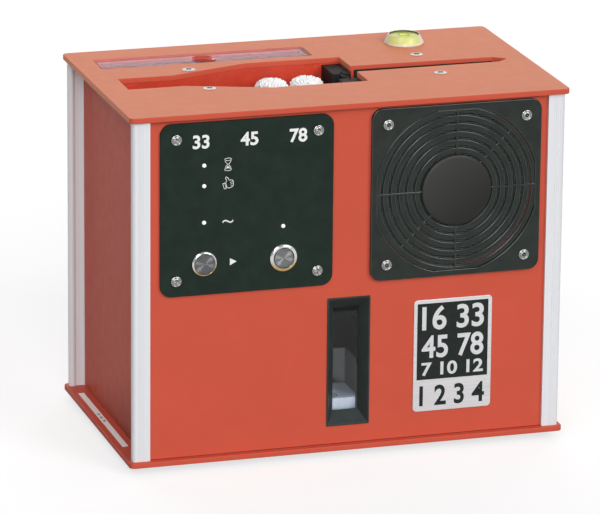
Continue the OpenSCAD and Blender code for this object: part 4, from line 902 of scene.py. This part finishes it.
def fan_blade():
    steps = 6
    chord, thick = 18.0, 1.3
    blade = block("blade", (BLADE_ROOT, -thick / 2, -chord / 2),
        (BLADE_TIP, thick / 2, chord / 2))
    edit(blade)
    pick("EDGE", lambda p, d: abs(d.x) > 0.99 or abs(d.z) > 0.99)
    bpy.ops.mesh.subdivide(number_cuts=steps)
    done()
    for vertex in blade.data.vertices:
        reach = (vertex.co.x / MM - BLADE_ROOT) / (BLADE_TIP - BLADE_ROOT)
        across = vertex.co.z / MM / chord
        angle = math.radians(48 - 18 * reach)
        y = vertex.co.y / MM + 1.6 * (0.25 - across * across) * 4
        z = vertex.co.z / MM * (0.9 + 0.35 * reach)
        sweep = math.radians(10) * reach * reach
        turned_y = y * math.cos(angle) - z * math.sin(angle)
        turned_z = y * math.sin(angle) + z * math.cos(angle)
        x = vertex.co.x / MM
        vertex.co = Vector((x * math.cos(sweep), turned_y, turned_z + x * math.sin(sweep))) * MM
    return ease(blade, 0.35, 2, 50)


def fan_rotor(name, way, middle_y, centre):
    cup = turned("cup", (0, 8, 0), FRONT, [(4, 0), (18.7, 0), (19.5, 0.8), (19.5, 15.6),
        (19.0, 16.6), (17.5, 17.3), (12, 17.5), (11.6, 17.1), (3, 17.1)], 64)
    bpy.ops.object.shade_smooth_by_angle(angle=math.radians(35))
    first = fan_blade()
    blades = []
    for i in range(BLADES):
        blade = copied(first, "blade", (0, 0, 0))
        blade.matrix_world = Matrix.Rotation(i * math.tau / BLADES, 4, "Y")
        blades.append(settle(blade))
    bpy.data.objects.remove(first)
    rotor = joined(name, [cup] + blades)
    rotor.matrix_world = Matrix.Translation(
        Vector((centre.x, middle_y, centre.z)) * MM) @ way
    return settle(rotor)


rotor_low, rotor_high = box_mm("front_fan_rotor")
rear_low, rear_high = box_mm("rear_fan_rotor")
HALF_TURN = Matrix.Rotation(math.pi, 4, "Z")
dress(fan_rotor("front_rotor_moulding", UPWARD, (rotor_low.y + rotor_high.y) / 2,
    guard_middle), fan_plastic, "fan_plastic", "front_rotor", "front_fan_rotor")
dress(fan_rotor("rear_rotor_moulding", HALF_TURN, (rear_low.y + rear_high.y) / 2,
    guard_middle), fan_plastic, "fan_plastic", "rear_rotor", "rear_fan_rotor")

# %% [markdown]
# ## Push buttons and lamps
# The two metal switches are lathe work: a bevelled polished ring, and a cap with a slightly
# sunk, finely turned face. The start cap nearly fills its ring, the power cap is set in a
# thin dark seal. The lamps are small white domes.

# %% Turn the switches, caps and lamps
ctrl_face = plate_low.y
BARREL_D = 17


def switch_ring(name, node, cap_d, outer_d, gap):
    low, high = box_mm(node)
    centre = (low + high) / 2
    r, hole = outer_d / 2, cap_d / 2 + gap
    ring = turned(name, (centre.x, ctrl_face, centre.z), FRONT, [(hole, -3.8), (r - 0.2, -0.0),
        (r, 0.2), (r, 0.55), (r - 0.25, 0.95), (r - 1.0, 1.5), (r - 1.25, 1.6),
        (hole + 0.12, 1.6), (hole, 1.48)], 96, hollow=True)
    alone(ring)
    bpy.ops.object.shade_smooth_by_angle(angle=math.radians(32))
    inner, outer, depth = cap_d / 2 + 0.2, BARREL_D / 2, high.y - ctrl_face
    barrel = turned("barrel", (centre.x, ctrl_face, centre.z), REAR,
        [(inner, 0.1), (outer, 0.1), (outer, depth), (inner, depth)], 48, hollow=True)
    end = turned("barrel_end", (centre.x, ctrl_face, centre.z), REAR,
        [(inner + 0.1, depth - 2), (inner + 0.1, depth - 0.05)], 48)
    nut = turned("nut", (centre.x, ctrl_face + 4, centre.z), REAR,
        [(9.85, 0), (11, 0), (11, 3), (9.85, 3)], 6, hollow=True)
    body = joined(name + "_body", [barrel, end, nut])
    return ring, body, centre


def switch_cap(name, centre, cap_d, front_y):
    r = cap_d / 2
    cap = turned(name, (centre.x, front_y, centre.z), REAR, [(0.4, 0.34), (r - 1.15, 0.30),
        (r - 0.95, 0.02), (r - 0.35, 0.0), (r, 0.32), (r, 3.4), (4.5, 3.4), (4.5, 12)], 96)
    alone(cap)
    bpy.ops.object.shade_smooth_by_angle(angle=math.radians(28))
    return cap


for word, cap_d, outer_d, gap, tone in (("start", 15.6, 18.7, 0.12, 0.17),
        ("power", 14.4, 20.7, 0.55, 0.25)):
    ring, body, centre = switch_ring(word + "_ring", word + "_switch", cap_d, outer_d, gap)
    dress(ring, plated_ring(word + "_ring_plating", centre, outer_d / 2), "bright_metal",
        "chassis", word + "_switch")
    dress(body, motor_metal, "bright_metal", "chassis")
    if gap > 0.3:
        seal = turned(word + "_seal", (centre.x, ctrl_face, centre.z), FRONT,
            [(cap_d / 2 + 0.07, -2), (cap_d / 2 + gap + 0.02, -2),
            (cap_d / 2 + gap + 0.06, 1.35), (cap_d / 2 + 0.07, 1.2)], 96, hollow=True)
        dress(seal, rubber, "rubber", "chassis")
    cap_low, cap_high = box_mm(word + "_button")
    face = turned_face(word + "_cap_face", (tone, tone * 1.04, tone * 1.05), 0.34, centre)
    dress(switch_cap(word + "_cap", centre, cap_d, cap_low.y), face, "bright_metal",
        word + "_cap", word + "_button")

LAMPS = [(-109.7, 228.1), (-109.7, 213.0), (-109.7, 185.9), (-50.7, 179.0)]
first_lamp = turned("lamp", (0, 0, 0), FRONT, [(1.5, -6), (1.5, 0.0), (1.38, 0.38),
    (1.1, 0.62), (0.7, 0.76), (0.2, 0.8)], 32)
bpy.ops.object.shade_smooth_by_angle(angle=math.radians(45))
lamps = [copied(first_lamp, "lamp", (x, ctrl_face, z)) for x, z in LAMPS]
bpy.data.objects.remove(first_lamp)
dress(joined("lamp_lenses", lamps), lamp_white, "lamp_white", "chassis", "indicator_lamps")

# %% [markdown]
# ## Printed marks
# The control plate is screen printed in white. Only plain signs are drawn: an hourglass for
# the running time, a ready sign, a wave for power, a triangle beside the start button, and a
# row of plain numbers as a heading. Each mark is a flat curve with a little body, turned into
# a mesh and laid a few hundredths of a millimetre proud of the plate.

# %% Draw lines and numbers on the plate
INK = 0.05


def ink(piece, x, y, z, name):
    """Turns a flat XY piece to face the front and puts it on the surface y."""
    alone(piece)
    bpy.ops.object.convert(target="MESH")
    piece = named(name)
    piece.matrix_world = Matrix.Translation(Vector((x, y, z)) * MM) @ FRONT
    return settle(piece)


def stroke(name, points, width, x, y, z, closed=False):
    """A drawn line through points, in mm from x and z."""
    clear_selection()
    curve = bpy.data.curves.new(name, "CURVE")
    curve.dimensions = "2D"
    line = curve.splines.new("POLY")
    line.points.add(len(points) - 1)
    for point, (u, v) in zip(line.points, points):
        point.co = (u * MM, v * MM, 0, 1)
    line.use_cyclic_u = closed
    curve.extrude = INK / 2 * MM
    curve.offset = 0
    curve.bevel_depth = 0
    drawn = bpy.data.objects.new(name, curve)
    bpy.context.scene.collection.objects.link(drawn)
    drawn = ink(drawn, x, y, z, name)
    apply(drawn, "SOLIDIFY", thickness=width * MM, offset=0, use_rim=True, use_even_offset=True)
    return drawn


def filled(name, points, x, y, z):
    """A filled flat shape with straight sides."""
    clear_selection()
    bpy.ops.mesh.primitive_circle_add(vertices=len(points), radius=MM, fill_type="NGON")
    shape = named(name)
    for vertex, (u, v) in zip(shape.data.vertices, points):
        vertex.co = Vector((u, v, 0)) * MM
    edit(shape)
    bpy.ops.mesh.select_all(action="SELECT")
    bpy.ops.mesh.extrude_region_move(TRANSFORM_OT_translate={"value": (0, 0, INK * MM)})
    bpy.ops.mesh.select_all(action="SELECT")
    bpy.ops.mesh.normals_make_consistent(inside=False)
    done()
    return ink(shape, x, y, z, name)


def numbers(name, words, size, x, y, z, bold=0.0, width=None):
    """Plain numbers, centred on x with their foot at z, and drawn out to a width if given."""
    clear_selection()
    bpy.ops.object.text_add()
    text = bpy.context.object
    text.data.body = words
    text.data.size = size * MM
    text.data.align_x = "CENTER"
    text.data.offset = bold * MM
    text.data.extrude = INK / 2 * MM
    if width:
        alone(text)
        bpy.ops.object.convert(target="MESH")
        row = bpy.context.object
        spread = [vertex.co.x / MM for vertex in row.data.vertices]
        low, high = min(spread), max(spread)
        for vertex in row.data.vertices:
            vertex.co.x = (vertex.co.x / MM - (low + high) / 2) * width / (high - low) * MM
        return ink(row, x, y, z, name)
    return ink(text, x, y, z, name)


def arc(cx, cy, r, start, end, count=16, squash=1.0):
    return [(cx + r * math.cos(math.radians(start + (end - start) * i / count)),
        cy + squash * r * math.sin(math.radians(start + (end - start) * i / count)))
        for i in range(count + 1)]


def leaned(points, angle=16):
    """Points turned to the left about the middle of their sign."""
    c, s = math.cos(math.radians(angle)), math.sin(math.radians(angle))
    return [(u * c - v * s, u * s + v * c) for u, v in points]


MARK_X = -92.1
face_y = ctrl_face - INK / 2
LINE = 0.42
marks = [
    stroke("glass_top", arc(0, 3.6, 2.5, 0, 360, 20, 0.38)[:-1], LINE, MARK_X, face_y, 228, True),
    stroke("glass_sides", [(-2.2, 3.2), (-2.0, 1.8), (-0.3, 0), (-2.0, -2.2), (-2.2, -3.4)],
        LINE, MARK_X, face_y, 228),
    stroke("glass_sides", [(2.2, 3.2), (2.0, 1.8), (0.3, 0), (2.0, -2.2), (2.2, -3.4)],
        LINE, MARK_X, face_y, 228),
    stroke("glass_foot", arc(0, -3.9, 2.5, 0, 360, 20, 0.34)[:-1], LINE, MARK_X, face_y, 228,
        True),
    filled("glass_sand", [(-1.7, -3.2), (1.7, -3.2), (0.6, -1.7), (0, -1.1), (-0.6, -1.7)],
        MARK_X, ctrl_face, 228),
    stroke("ready_thumb", leaned([(-1.6, 0.6), (-0.4, 2.0), (-0.9, 4.1), (0.1, 4.6),
        (1.0, 3.6), (1.3, 1.7), (3.4, 1.3), (4.0, 0.2), (3.6, -2.6), (2.4, -3.8),
        (-0.2, -4.0), (-1.6, -3.2)]), LINE, MARK_X, face_y, 214.2, True),
    stroke("ready_cuff", leaned([(-2.3, 0.8), (-3.8, 0.6), (-3.8, -3.4), (-2.3, -3.6)]),
        LINE, MARK_X, face_y, 214.2, True),
    stroke("ready_finger", leaned([(1.6, -0.2), (3.7, -0.3)]), 0.34, MARK_X, face_y, 214.2),
    stroke("ready_finger", leaned([(1.5, -1.4), (3.6, -1.6)]), 0.34, MARK_X, face_y, 214.2),
    stroke("ready_finger", leaned([(1.3, -2.6), (3.1, -2.9)]), 0.34, MARK_X, face_y, 214.2),
    stroke("power_wave", [(-3.9, -0.8), (-3.2, 0.3), (-2.1, 0.8), (-1.0, 0.6), (1.0, -0.5),
        (2.1, -0.8), (3.2, -0.3), (3.9, 0.8)], 1.05, MARK_X, face_y, 185.6),
    filled("start_sign", [(-2.4, -2.6), (2.6, 0), (-2.4, 2.6)], -88, ctrl_face, 155.4),
    numbers("heading", "33      45      78", 13.5, -76, face_y, 241.2, 0.36),
]
dress(joined("plate_print", marks), print_white, "lamp_white", "chassis")

# %% Print a small number row on the label strip
label_low, label_high = box_mm("label_strip")
label_row = numbers("label_row", "33  45  78", 2.6, 0, 0, 0, 0.05, 20)
label_row.matrix_world = Matrix.Translation(Vector(
    ((label_low.x + label_high.x) / 2 - 0.9, 10, label_high.z + INK / 2)) * MM) \
    @ Matrix.Rotation(math.radians(-90), 4, "Z") @ FRONT.inverted()
dress(settle(label_row), print_black, "label_metal", "chassis")

# %% [markdown]
# ## Badge
# A thin metal plate with round corners sits under the fan. Its upper part is printed black and
# carries plain numbers left bare as metal, the common speeds and disc sizes, and the lower
# part stays bare metal with a row of black numbers. Each row is drawn out to its own width.

# %% Shape the badge and its print
badge_low, badge_high = box_mm("badge_plate")
badge = block("badge_sheet", badge_low, badge_high)
round_corners(badge, 3, Vector((0, 1, 0)), 8)
ease(badge, 0.35, 3)
dress(badge, badge_metal, "badge", "chassis", "badge_plate")
FIELD_FOOT = 0.285
badge_h = badge_high.z - badge_low.z
badge_x = (badge_low.x + badge_high.x) / 2
field_z = badge_low.z + badge_h * FIELD_FOOT
field = block("badge_field", (badge_low.x + 2.6, badge_low.y - INK, field_z),
    (badge_high.x - 2.9, badge_low.y + 0.2, badge_high.z - 2.8))
dress(field, print_black, "badge", "chassis")
badge_y = badge_low.y - INK * 1.5
white_rows = [
    numbers("speed_row", "16 33", 24.5, badge_x, badge_y, badge_high.z - 22.5, 0.5, 47.5),
    numbers("speed_row", "45 78", 23.5, badge_x, badge_y, badge_high.z - 44, 0.5, 47.5),
    numbers("size_row", "7 10 12", 13.5, badge_x, badge_y, badge_high.z - 57.5, 0.35, 47.5),
]
dress(joined("badge_numbers", white_rows), badge_metal, "badge", "chassis")
foot_row = numbers("badge_foot_row", "1 2 3 4", 21, badge_x, badge_low.y - INK / 2,
    badge_low.z + 4.6, 0.5, 50)
dress(foot_row, print_black, "badge", "chassis")

# %% [markdown]
# ## Sight window, float and tank
# The window frame is a funnel: its thin front rim narrows to a throat that holds the clear
# pane. A block is cut by a tool whose rear face is scaled down. Behind the pane the white float
# rides in its guide on the water: a moulded block with round edges and a ringed dimple on top.

# %% Cut the window frame as a funnel
frame_low, frame_high = box_mm("window_bezel")
WINDOW_RIM = 1.1
MOUTH = Vector((frame_high.x - WINDOW_RIM, 0, (frame_high.z - frame_low.z) / 2 - WINDOW_RIM))
THROAT = Vector((9.4, 0, 38.8))
window_frame = block("window_frame", frame_low, frame_high)
round_corners(window_frame, 0.8, Vector((0, 1, 0)), 3)
window_mid_z = (frame_low.z + frame_high.z) / 2
funnel = block("funnel", (-MOUTH.x, frame_low.y - 0.01, window_mid_z - MOUTH.z),
    (MOUTH.x, frame_high.y + 0.01, window_mid_z + MOUTH.z))
edit(funnel)
pick("FACE", lambda p, d: d.y > 0.99)
bpy.ops.transform.resize(value=(THROAT.x / MOUTH.x, 1, THROAT.z / MOUTH.z),
    center_override=(0, 0, window_mid_z * MM))
done()
cut(window_frame, funnel)
ease(window_frame, 0.25, 2, 20)
dress(window_frame, frame_plastic, "black_plastic", "chassis", "window_bezel")

# %% Mould the float
float_low, float_high = box_mm("level_float")
float_block = block("float_moulding", float_low, float_high)
round_corners(float_block, 2.2, Vector((0, 0, 1)), 6)
float_centre = (float_low + float_high) / 2
cut(float_block, turned("dimple", (float_centre.x, float_centre.y, float_high.z - 2.5),
    UPWARD, [(2.4, 0), (2.4, 4)], 32))
ease(float_block, 0.7, 3)
dress(float_block, white_plastic, "white_plastic", "float", "level_float")
vent = turned("float_ring", (float_centre.x - 4.5, float_low.y + 7, float_high.z - 0.1),
    UPWARD, [(1.9, 0), (2.7, 0), (2.7, 0.35), (2.4, 0.5), (2.1, 0.5), (1.9, 0.35)], 32,
    hollow=True)
bpy.ops.object.shade_smooth_by_angle(angle=math.radians(40))
dress(vent, pump_plastic, "pump_plastic", "float")

# %% [markdown]
# ## Spirit level
# The round level is a cloudy tapered cup, milky at its thick bottom rim, with a painted pale
# sheen where it is seen edge on. The yellow-green liquid fills it up to the cap, with a bubble
# inside a thin centring ring, and a thin dark ring lines the inside of the raised top rim.

# %% Turn the vial, the liquid and its ring
vial_low, vial_high = box_mm("level_vial")
vial_at = ((vial_low.x + vial_high.x) / 2, (vial_low.y + vial_high.y) / 2, vial_low.z)
VIAL_R, VIAL_TOP_R, VIAL_H = 15.0, 11.8, vial_high.z - vial_low.z
RIM_IN = VIAL_TOP_R - 0.55
vial = turned("level_cup", vial_at, UPWARD, [(9.6, 1.8), (9.8, 1.6), (VIAL_R - 2.6, 1.2),
    (VIAL_R - 1.6, 0.0), (VIAL_R - 0.4, 0.0), (VIAL_R, 0.5), (VIAL_R, 1.3),
    (VIAL_TOP_R + 1.4, 4.2), (VIAL_TOP_R + 0.3, VIAL_H - 0.4), (VIAL_TOP_R, VIAL_H),
    (RIM_IN, VIAL_H), (RIM_IN - 0.1, VIAL_H - 1.0), (RIM_IN - 0.5, VIAL_H - 1.1)], 96, hollow=True)
bpy.ops.object.shade_smooth_by_angle(angle=math.radians(40))
dress(vial, vial_plastic, "vial_plastic", "chassis", "level_vial")
liquid = turned("level_fill", vial_at, UPWARD, [(9.7, 1.8), (11.6, 2.4), (11.4, 4.4),
    (RIM_IN - 0.15, VIAL_H - 1.2), (RIM_IN - 0.6, VIAL_H - 1.0), (3.6, VIAL_H - 0.7),
    (3.2, VIAL_H - 1.3), (1.0, VIAL_H - 1.7)], 64)
bpy.ops.object.shade_smooth_by_angle(angle=math.radians(40))
dress(liquid, level_liquid, "level_liquid", "chassis", "level_liquid")
level_ring = turned("level_ring", vial_at, UPWARD, [(4.3, VIAL_H - 0.8),
    (4.55, VIAL_H - 0.8), (4.55, VIAL_H - 0.6), (4.3, VIAL_H - 0.6)], 64, hollow=True)
# A thin dark ring lines the inside of the level's top rim.
seal = turned("level_seal", vial_at, UPWARD, [(RIM_IN - 0.3, VIAL_H - 1.15),
    (RIM_IN - 0.02, VIAL_H - 1.15), (RIM_IN, VIAL_H - 0.25),
    (RIM_IN - 0.25, VIAL_H - 0.25)], 96, hollow=True)
dress(joined("level_rings", [level_ring, seal]), rubber, "rubber", "chassis")

# %% [markdown]
# ## Foam filter
# Under the clear lid lies the filter, a block of open foam. The block is subdivided and each
# point is nudged by a noise texture, so its faces and edges are as soft and uneven as cut foam.

# %% Soften the foam block
foam_low, foam_high = box_mm("filter_block")
foam = block("foam_block", foam_low + Vector((0.3, 0.3, 0)), foam_high - Vector((0.3, 0.3, 0.2)))
edit(foam)
bpy.ops.mesh.select_all(action="SELECT")
bpy.ops.mesh.subdivide(number_cuts=3)
pick("EDGE", lambda p, d: abs(d.x) > 0.99)
bpy.ops.mesh.subdivide(number_cuts=7)
done()
apply(foam, "SUBSURF", subdivision_type="SIMPLE", levels=2, render_levels=2)
apply(foam, "BEVEL", width=0.9 * MM, segments=2, limit_method="ANGLE")
lumps = bpy.data.textures.new("foam_lumps", "CLOUDS")
lumps.noise_scale = 4 * MM
apply(foam, "DISPLACE", texture=lumps, strength=0.5 * MM, mid_level=0.9,
    texture_coords="LOCAL")
bpy.ops.object.shade_smooth()
dress(foam, filter_foam, "filter_foam", "chassis", "filter_block")

# %% [markdown]
# ## Drums with deep pile
# The cleaning drums carry microfibre with a pile some two millimetres deep. Hair would be
# lost in export, so the pile is real mesh: one small bent lock is scattered over the domed
# core by geometry nodes, turned at random and made real. One drum is made, and the other
# three are copies turned so that they don't look alike.

# %% Scatter the pile over a drum
PILE = 2.0
sleeve_low, sleeve_high = box_mm("drum_sleeve_1")
DRUM_R = (sleeve_high.x - sleeve_low.x) / 2
DRUM_H = sleeve_high.z - sleeve_low.z
core_r = DRUM_R - PILE + 0.3


def lock_of_fibre():
    lock = turned("lock", (0, 0, 0), UPWARD, [(0.65, -0.3), (1.0, 0.5), (0.85, 1.15),
        (0.35, 1.65)], 6)
    for vertex in lock.data.vertices:
        vertex.co.x += 0.22 * MM * (vertex.co.z / MM) ** 2 * 0.5
    bpy.ops.object.shade_smooth()
    return lock


def scatter(piece, part, density, seed):
    """Scatters copies of part over the piece, standing on its normals."""
    group = bpy.data.node_groups.new("pile", "GeometryNodeTree")
    for way in ("INPUT", "OUTPUT"):
        group.interface.new_socket("Geometry", in_out=way, socket_type="NodeSocketGeometry")
    start, end = group.nodes.new("NodeGroupInput"), group.nodes.new("NodeGroupOutput")
    points = group.nodes.new("GeometryNodeDistributePointsOnFaces")
    points.distribute_method = "POISSON"
    points.inputs["Distance Min"].default_value = 0.9 * MM
    points.inputs["Density Max"].default_value = density
    points.inputs["Seed"].default_value = seed
    source = group.nodes.new("GeometryNodeObjectInfo")
    source.inputs["Object"].default_value = part
    tilt = group.nodes.new("FunctionNodeRandomValue")
    tilt.data_type = "FLOAT_VECTOR"
    tilt.inputs["Min"].default_value = (-0.6, -0.6, 0)
    tilt.inputs["Max"].default_value = (0.6, 0.6, math.tau)
    tilt.inputs["Seed"].default_value = seed + 1
    size = group.nodes.new("FunctionNodeRandomValue")
    size.inputs[2].default_value = 0.6
    size.inputs[3].default_value = 1.2
    size.inputs["Seed"].default_value = seed + 2
    lean = group.nodes.new("FunctionNodeRotateRotation")
    lean.rotation_space = "LOCAL"
    place = group.nodes.new("GeometryNodeInstanceOnPoints")
    real = group.nodes.new("GeometryNodeRealizeInstances")
    both = group.nodes.new("GeometryNodeJoinGeometry")
    link = group.links.new
    link(start.outputs[0], points.inputs["Mesh"])
    link(points.outputs["Points"], place.inputs["Points"])
    link(source.outputs["Geometry"], place.inputs["Instance"])
    link(points.outputs["Rotation"], lean.inputs["Rotation"])
    link(tilt.outputs[0], lean.inputs["Rotate By"])
    link(lean.outputs["Rotation"], place.inputs["Rotation"])
    link(size.outputs[1], place.inputs["Scale"])
    link(place.outputs["Instances"], real.inputs["Geometry"])
    link(start.outputs[0], both.inputs[0])
    link(real.outputs["Geometry"], both.inputs[0])
    link(both.outputs[0], end.inputs[0])
    return apply(piece, "NODES", node_group=group)


drum = turned("pile_drum", (0, 0, 0), UPWARD, [(4.2, 0.4), (core_r - 1, 0.4), (core_r, 1.4),
    (core_r, DRUM_H * 0.5), (core_r, DRUM_H - 8), (core_r - 0.6, DRUM_H - 5.2),
    (core_r - 2.4, DRUM_H - 3.2), (core_r - 5.5, DRUM_H - 2.1), (1.5, DRUM_H - 1.8)], 48)
bpy.ops.object.shade_smooth()
lock = lock_of_fibre()
scatter(drum, lock, 900000, 4)
bpy.data.objects.remove(lock)
for i in range(1, 5):
    low, high = box_mm(f"drum_sleeve_{i}")
    twin = copied(drum, f"pile_drum_{i}", (0, 0, 0))
    twin.matrix_world = Matrix.Translation(
        Vector(((low.x + high.x) / 2, (low.y + high.y) / 2, low.z)) * MM) \
        @ Matrix.Rotation(i * 1.3, 4, "Z")
    settle(twin)
    dress(twin, microfibre, "microfibre", f"sleeve_{i}", f"drum_sleeve_{i}")
bpy.data.objects.remove(drum)

# %% [markdown]
# ## Wiper lips
# Two rubber strips wipe the disc as it turns. They are clamped straight in their blocks, and
# their free edges curl towards the drying side, which a moved row of points shows.

# %% Curl the rubber strips
lips_low, lips_high = box_mm("wiper_lips")
disc_y = (lips_low.y + lips_high.y) / 2
lips = []
for side in (-1, 1):
    inner = lips_low.y if side < 0 else disc_y + 1.2
    outer = disc_y - 1.2 if side < 0 else lips_high.y
    lip = block("lip", (lips_low.x, inner, lips_low.z), (lips_high.x, outer, lips_high.z))
    edit(lip)
    pick("EDGE", lambda p, d: abs(d.y) > 0.99)
    bpy.ops.mesh.subdivide(number_cuts=9)
    done()
    for vertex in lip.data.vertices:
        free = max(0, 1 - (abs(vertex.co.y / MM - disc_y) - 1.2) / 5.8)
        vertex.co.x += 2.6 * free * free * MM
    lips.append(ease(lip, 0.25, 2))
dress(joined("wiper_strips", lips), rubber, "rubber", "chassis", "wiper_lips")

# %% [markdown]
# ## Power inlet
# The inlet at the rear is a moulded collar with a round hole and a metal centre pin.

# %% Turn the collar and the pin
inlet_low, inlet_high = box_mm("power_inlet")
inlet_at = ((inlet_low.x + inlet_high.x) / 2, inlet_high.y - 1.5, (inlet_low.z + inlet_high.z) / 2)
collar = turned("inlet_collar", inlet_at, REAR, [(2.8, -9), (6, -9), (6, 0), (8, 0),
    (8, 1.1), (7.6, 1.5), (3.3, 1.5), (2.8, 1.1)], 64, hollow=True)
bpy.ops.object.shade_smooth_by_angle(angle=math.radians(35))
floor_disc = turned("inlet_floor", inlet_at, REAR, [(5.9, -10.5), (5.9, -8.9)], 48)
dress(joined("inlet_moulding", [collar, floor_disc]), black_plastic, "black_plastic",
    "chassis", "power_inlet")
pin = turned("inlet_pin", inlet_at, REAR, [(1.05, -9), (1.05, -0.6), (0.8, -0.2), (0.3, 0)], 32)
bpy.ops.object.shade_smooth_by_angle(angle=math.radians(35))
dress(pin, steel, "steel", "chassis")

# %% [markdown]
# ## Floor, lamps and world
# The floor is plain and pale and keeps the machine's shadow. The camera sees it nearly white,
# gloss and glass see a pale sheet with the shadow on it, and what it bounces back is held low,
# so that the shaded left side stays dark as in a studio. Suns with wide discs light the whole
# floor evenly: a key from the front right, a fill from the front left, one from behind for the
# top, and a small one from the upper left that draws the thin bright edges. The one behind
# isn't mirrored, because its disc would whiten the clear lid.

# %% Lay the floor and hang the lamps
def mixed(tree, factor, first, second):
    """A colour between two others; each may be a colour or a socket."""
    mix = tree.nodes.new("ShaderNodeMix")
    mix.data_type = "RGBA"
    sockets = [socket for socket in mix.inputs if socket.type == "RGBA"]
    for socket, value in zip(sockets, (first, second)):
        if hasattr(value, "links"):
            tree.links.new(value, socket)
        else:
            socket.default_value = (*value, 1)
    tree.links.new(factor, mix.inputs[0])
    return [socket for socket in mix.outputs if socket.type == "RGBA"][0]


def by_ray(tree, scattered, mirrored, watched):
    """One colour for scattered light, one for gloss and clear pieces, one for the camera."""
    path = tree.nodes.new("ShaderNodeLightPath")
    color = mixed(tree, path.outputs["Is Glossy Ray"], scattered, mirrored)
    color = mixed(tree, path.outputs["Is Transmission Ray"], color, mirrored)
    return mixed(tree, path.outputs["Is Camera Ray"], color, watched)


clear_selection()
bpy.ops.mesh.primitive_plane_add(size=24)
floor = named("floor")
floor_paint = bpy.data.materials.new("pale_floor")
floor_paint.use_nodes = True
floor_tree = floor_paint.node_tree
floor_shader = floor_tree.nodes["Principled BSDF"]
floor_shader.inputs["Roughness"].default_value = 0.9
floor_shader.inputs["Specular IOR Level"].default_value = 0.0
FLOOR_DIM, FLOOR_PALE, FLOOR_SEEN, FLOOR_GLOW = 0.24, 0.90, 0.38, 0.68
floor_tree.links.new(by_ray(floor_tree, (FLOOR_DIM,) * 3, (FLOOR_PALE,) * 3,
    (FLOOR_SEEN,) * 3), floor_shader.inputs["Base Color"])
floor_tree.links.new(by_ray(floor_tree, (0, 0, 0), (0, 0, 0), (FLOOR_GLOW,) * 3),
    floor_shader.inputs["Emission Color"])
floor_shader.inputs["Emission Strength"].default_value = 1.0
floor.data.materials.append(floor_paint)

world = bpy.data.worlds.new("studio")
bpy.context.scene.world = world
world.use_nodes = True
world_tree = world.node_tree
backdrop = world_tree.nodes["Background"]
AMBIENT = 0.22
way_out = world_tree.nodes.new("ShaderNodeTexCoord").outputs["Generated"]
open_side = world_tree.nodes.new("ShaderNodeVectorMath")
open_side.operation = "DOT_PRODUCT"
open_side.inputs[1].default_value = (0.35, 0.94, -0.5)
world_tree.links.new(way_out, open_side.inputs[0])
opening = world_tree.nodes.new("ShaderNodeMapRange")
opening.interpolation_type = "SMOOTHSTEP"
opening.inputs["From Min"].default_value = -0.9
opening.inputs["From Max"].default_value = 0.4
world_tree.links.new(open_side.outputs["Value"], opening.inputs["Value"])
room = mixed(world_tree, opening.outputs["Result"], (0.34, 0.36, 0.40), (1, 1, 1))
world_tree.links.new(by_ray(world_tree, (AMBIENT,) * 3, room, (1, 1, 1)),
    backdrop.inputs["Color"])


def sun(name, way, level, angle):
    """A sun whose light comes from way; level is what a white sheet facing it would show."""
    data = bpy.data.lights.new(name, "SUN")
    data.energy = level * math.pi
    data.angle = math.radians(angle)
    lamp = bpy.data.objects.new(name, data)
    lamp.rotation_euler = Vector(way).to_track_quat("Z", "Y").to_euler()
    bpy.context.scene.collection.objects.link(lamp)
    return lamp


sun("key_sun", (0.45, -0.76, 0.47), 0.46, 30)
sun("front_fill_sun", (-0.21, -0.93, 0.30), 0.46, 26)
top_fill = sun("back_fill_sun", (0.15, 0.85, 0.50), 0.46, 60)
top_fill.visible_glossy = False
sun("edge_sun", (-0.50, -0.55, 0.75), 0.14, 22)
bpy.context.scene.view_settings.view_transform = "Standard"
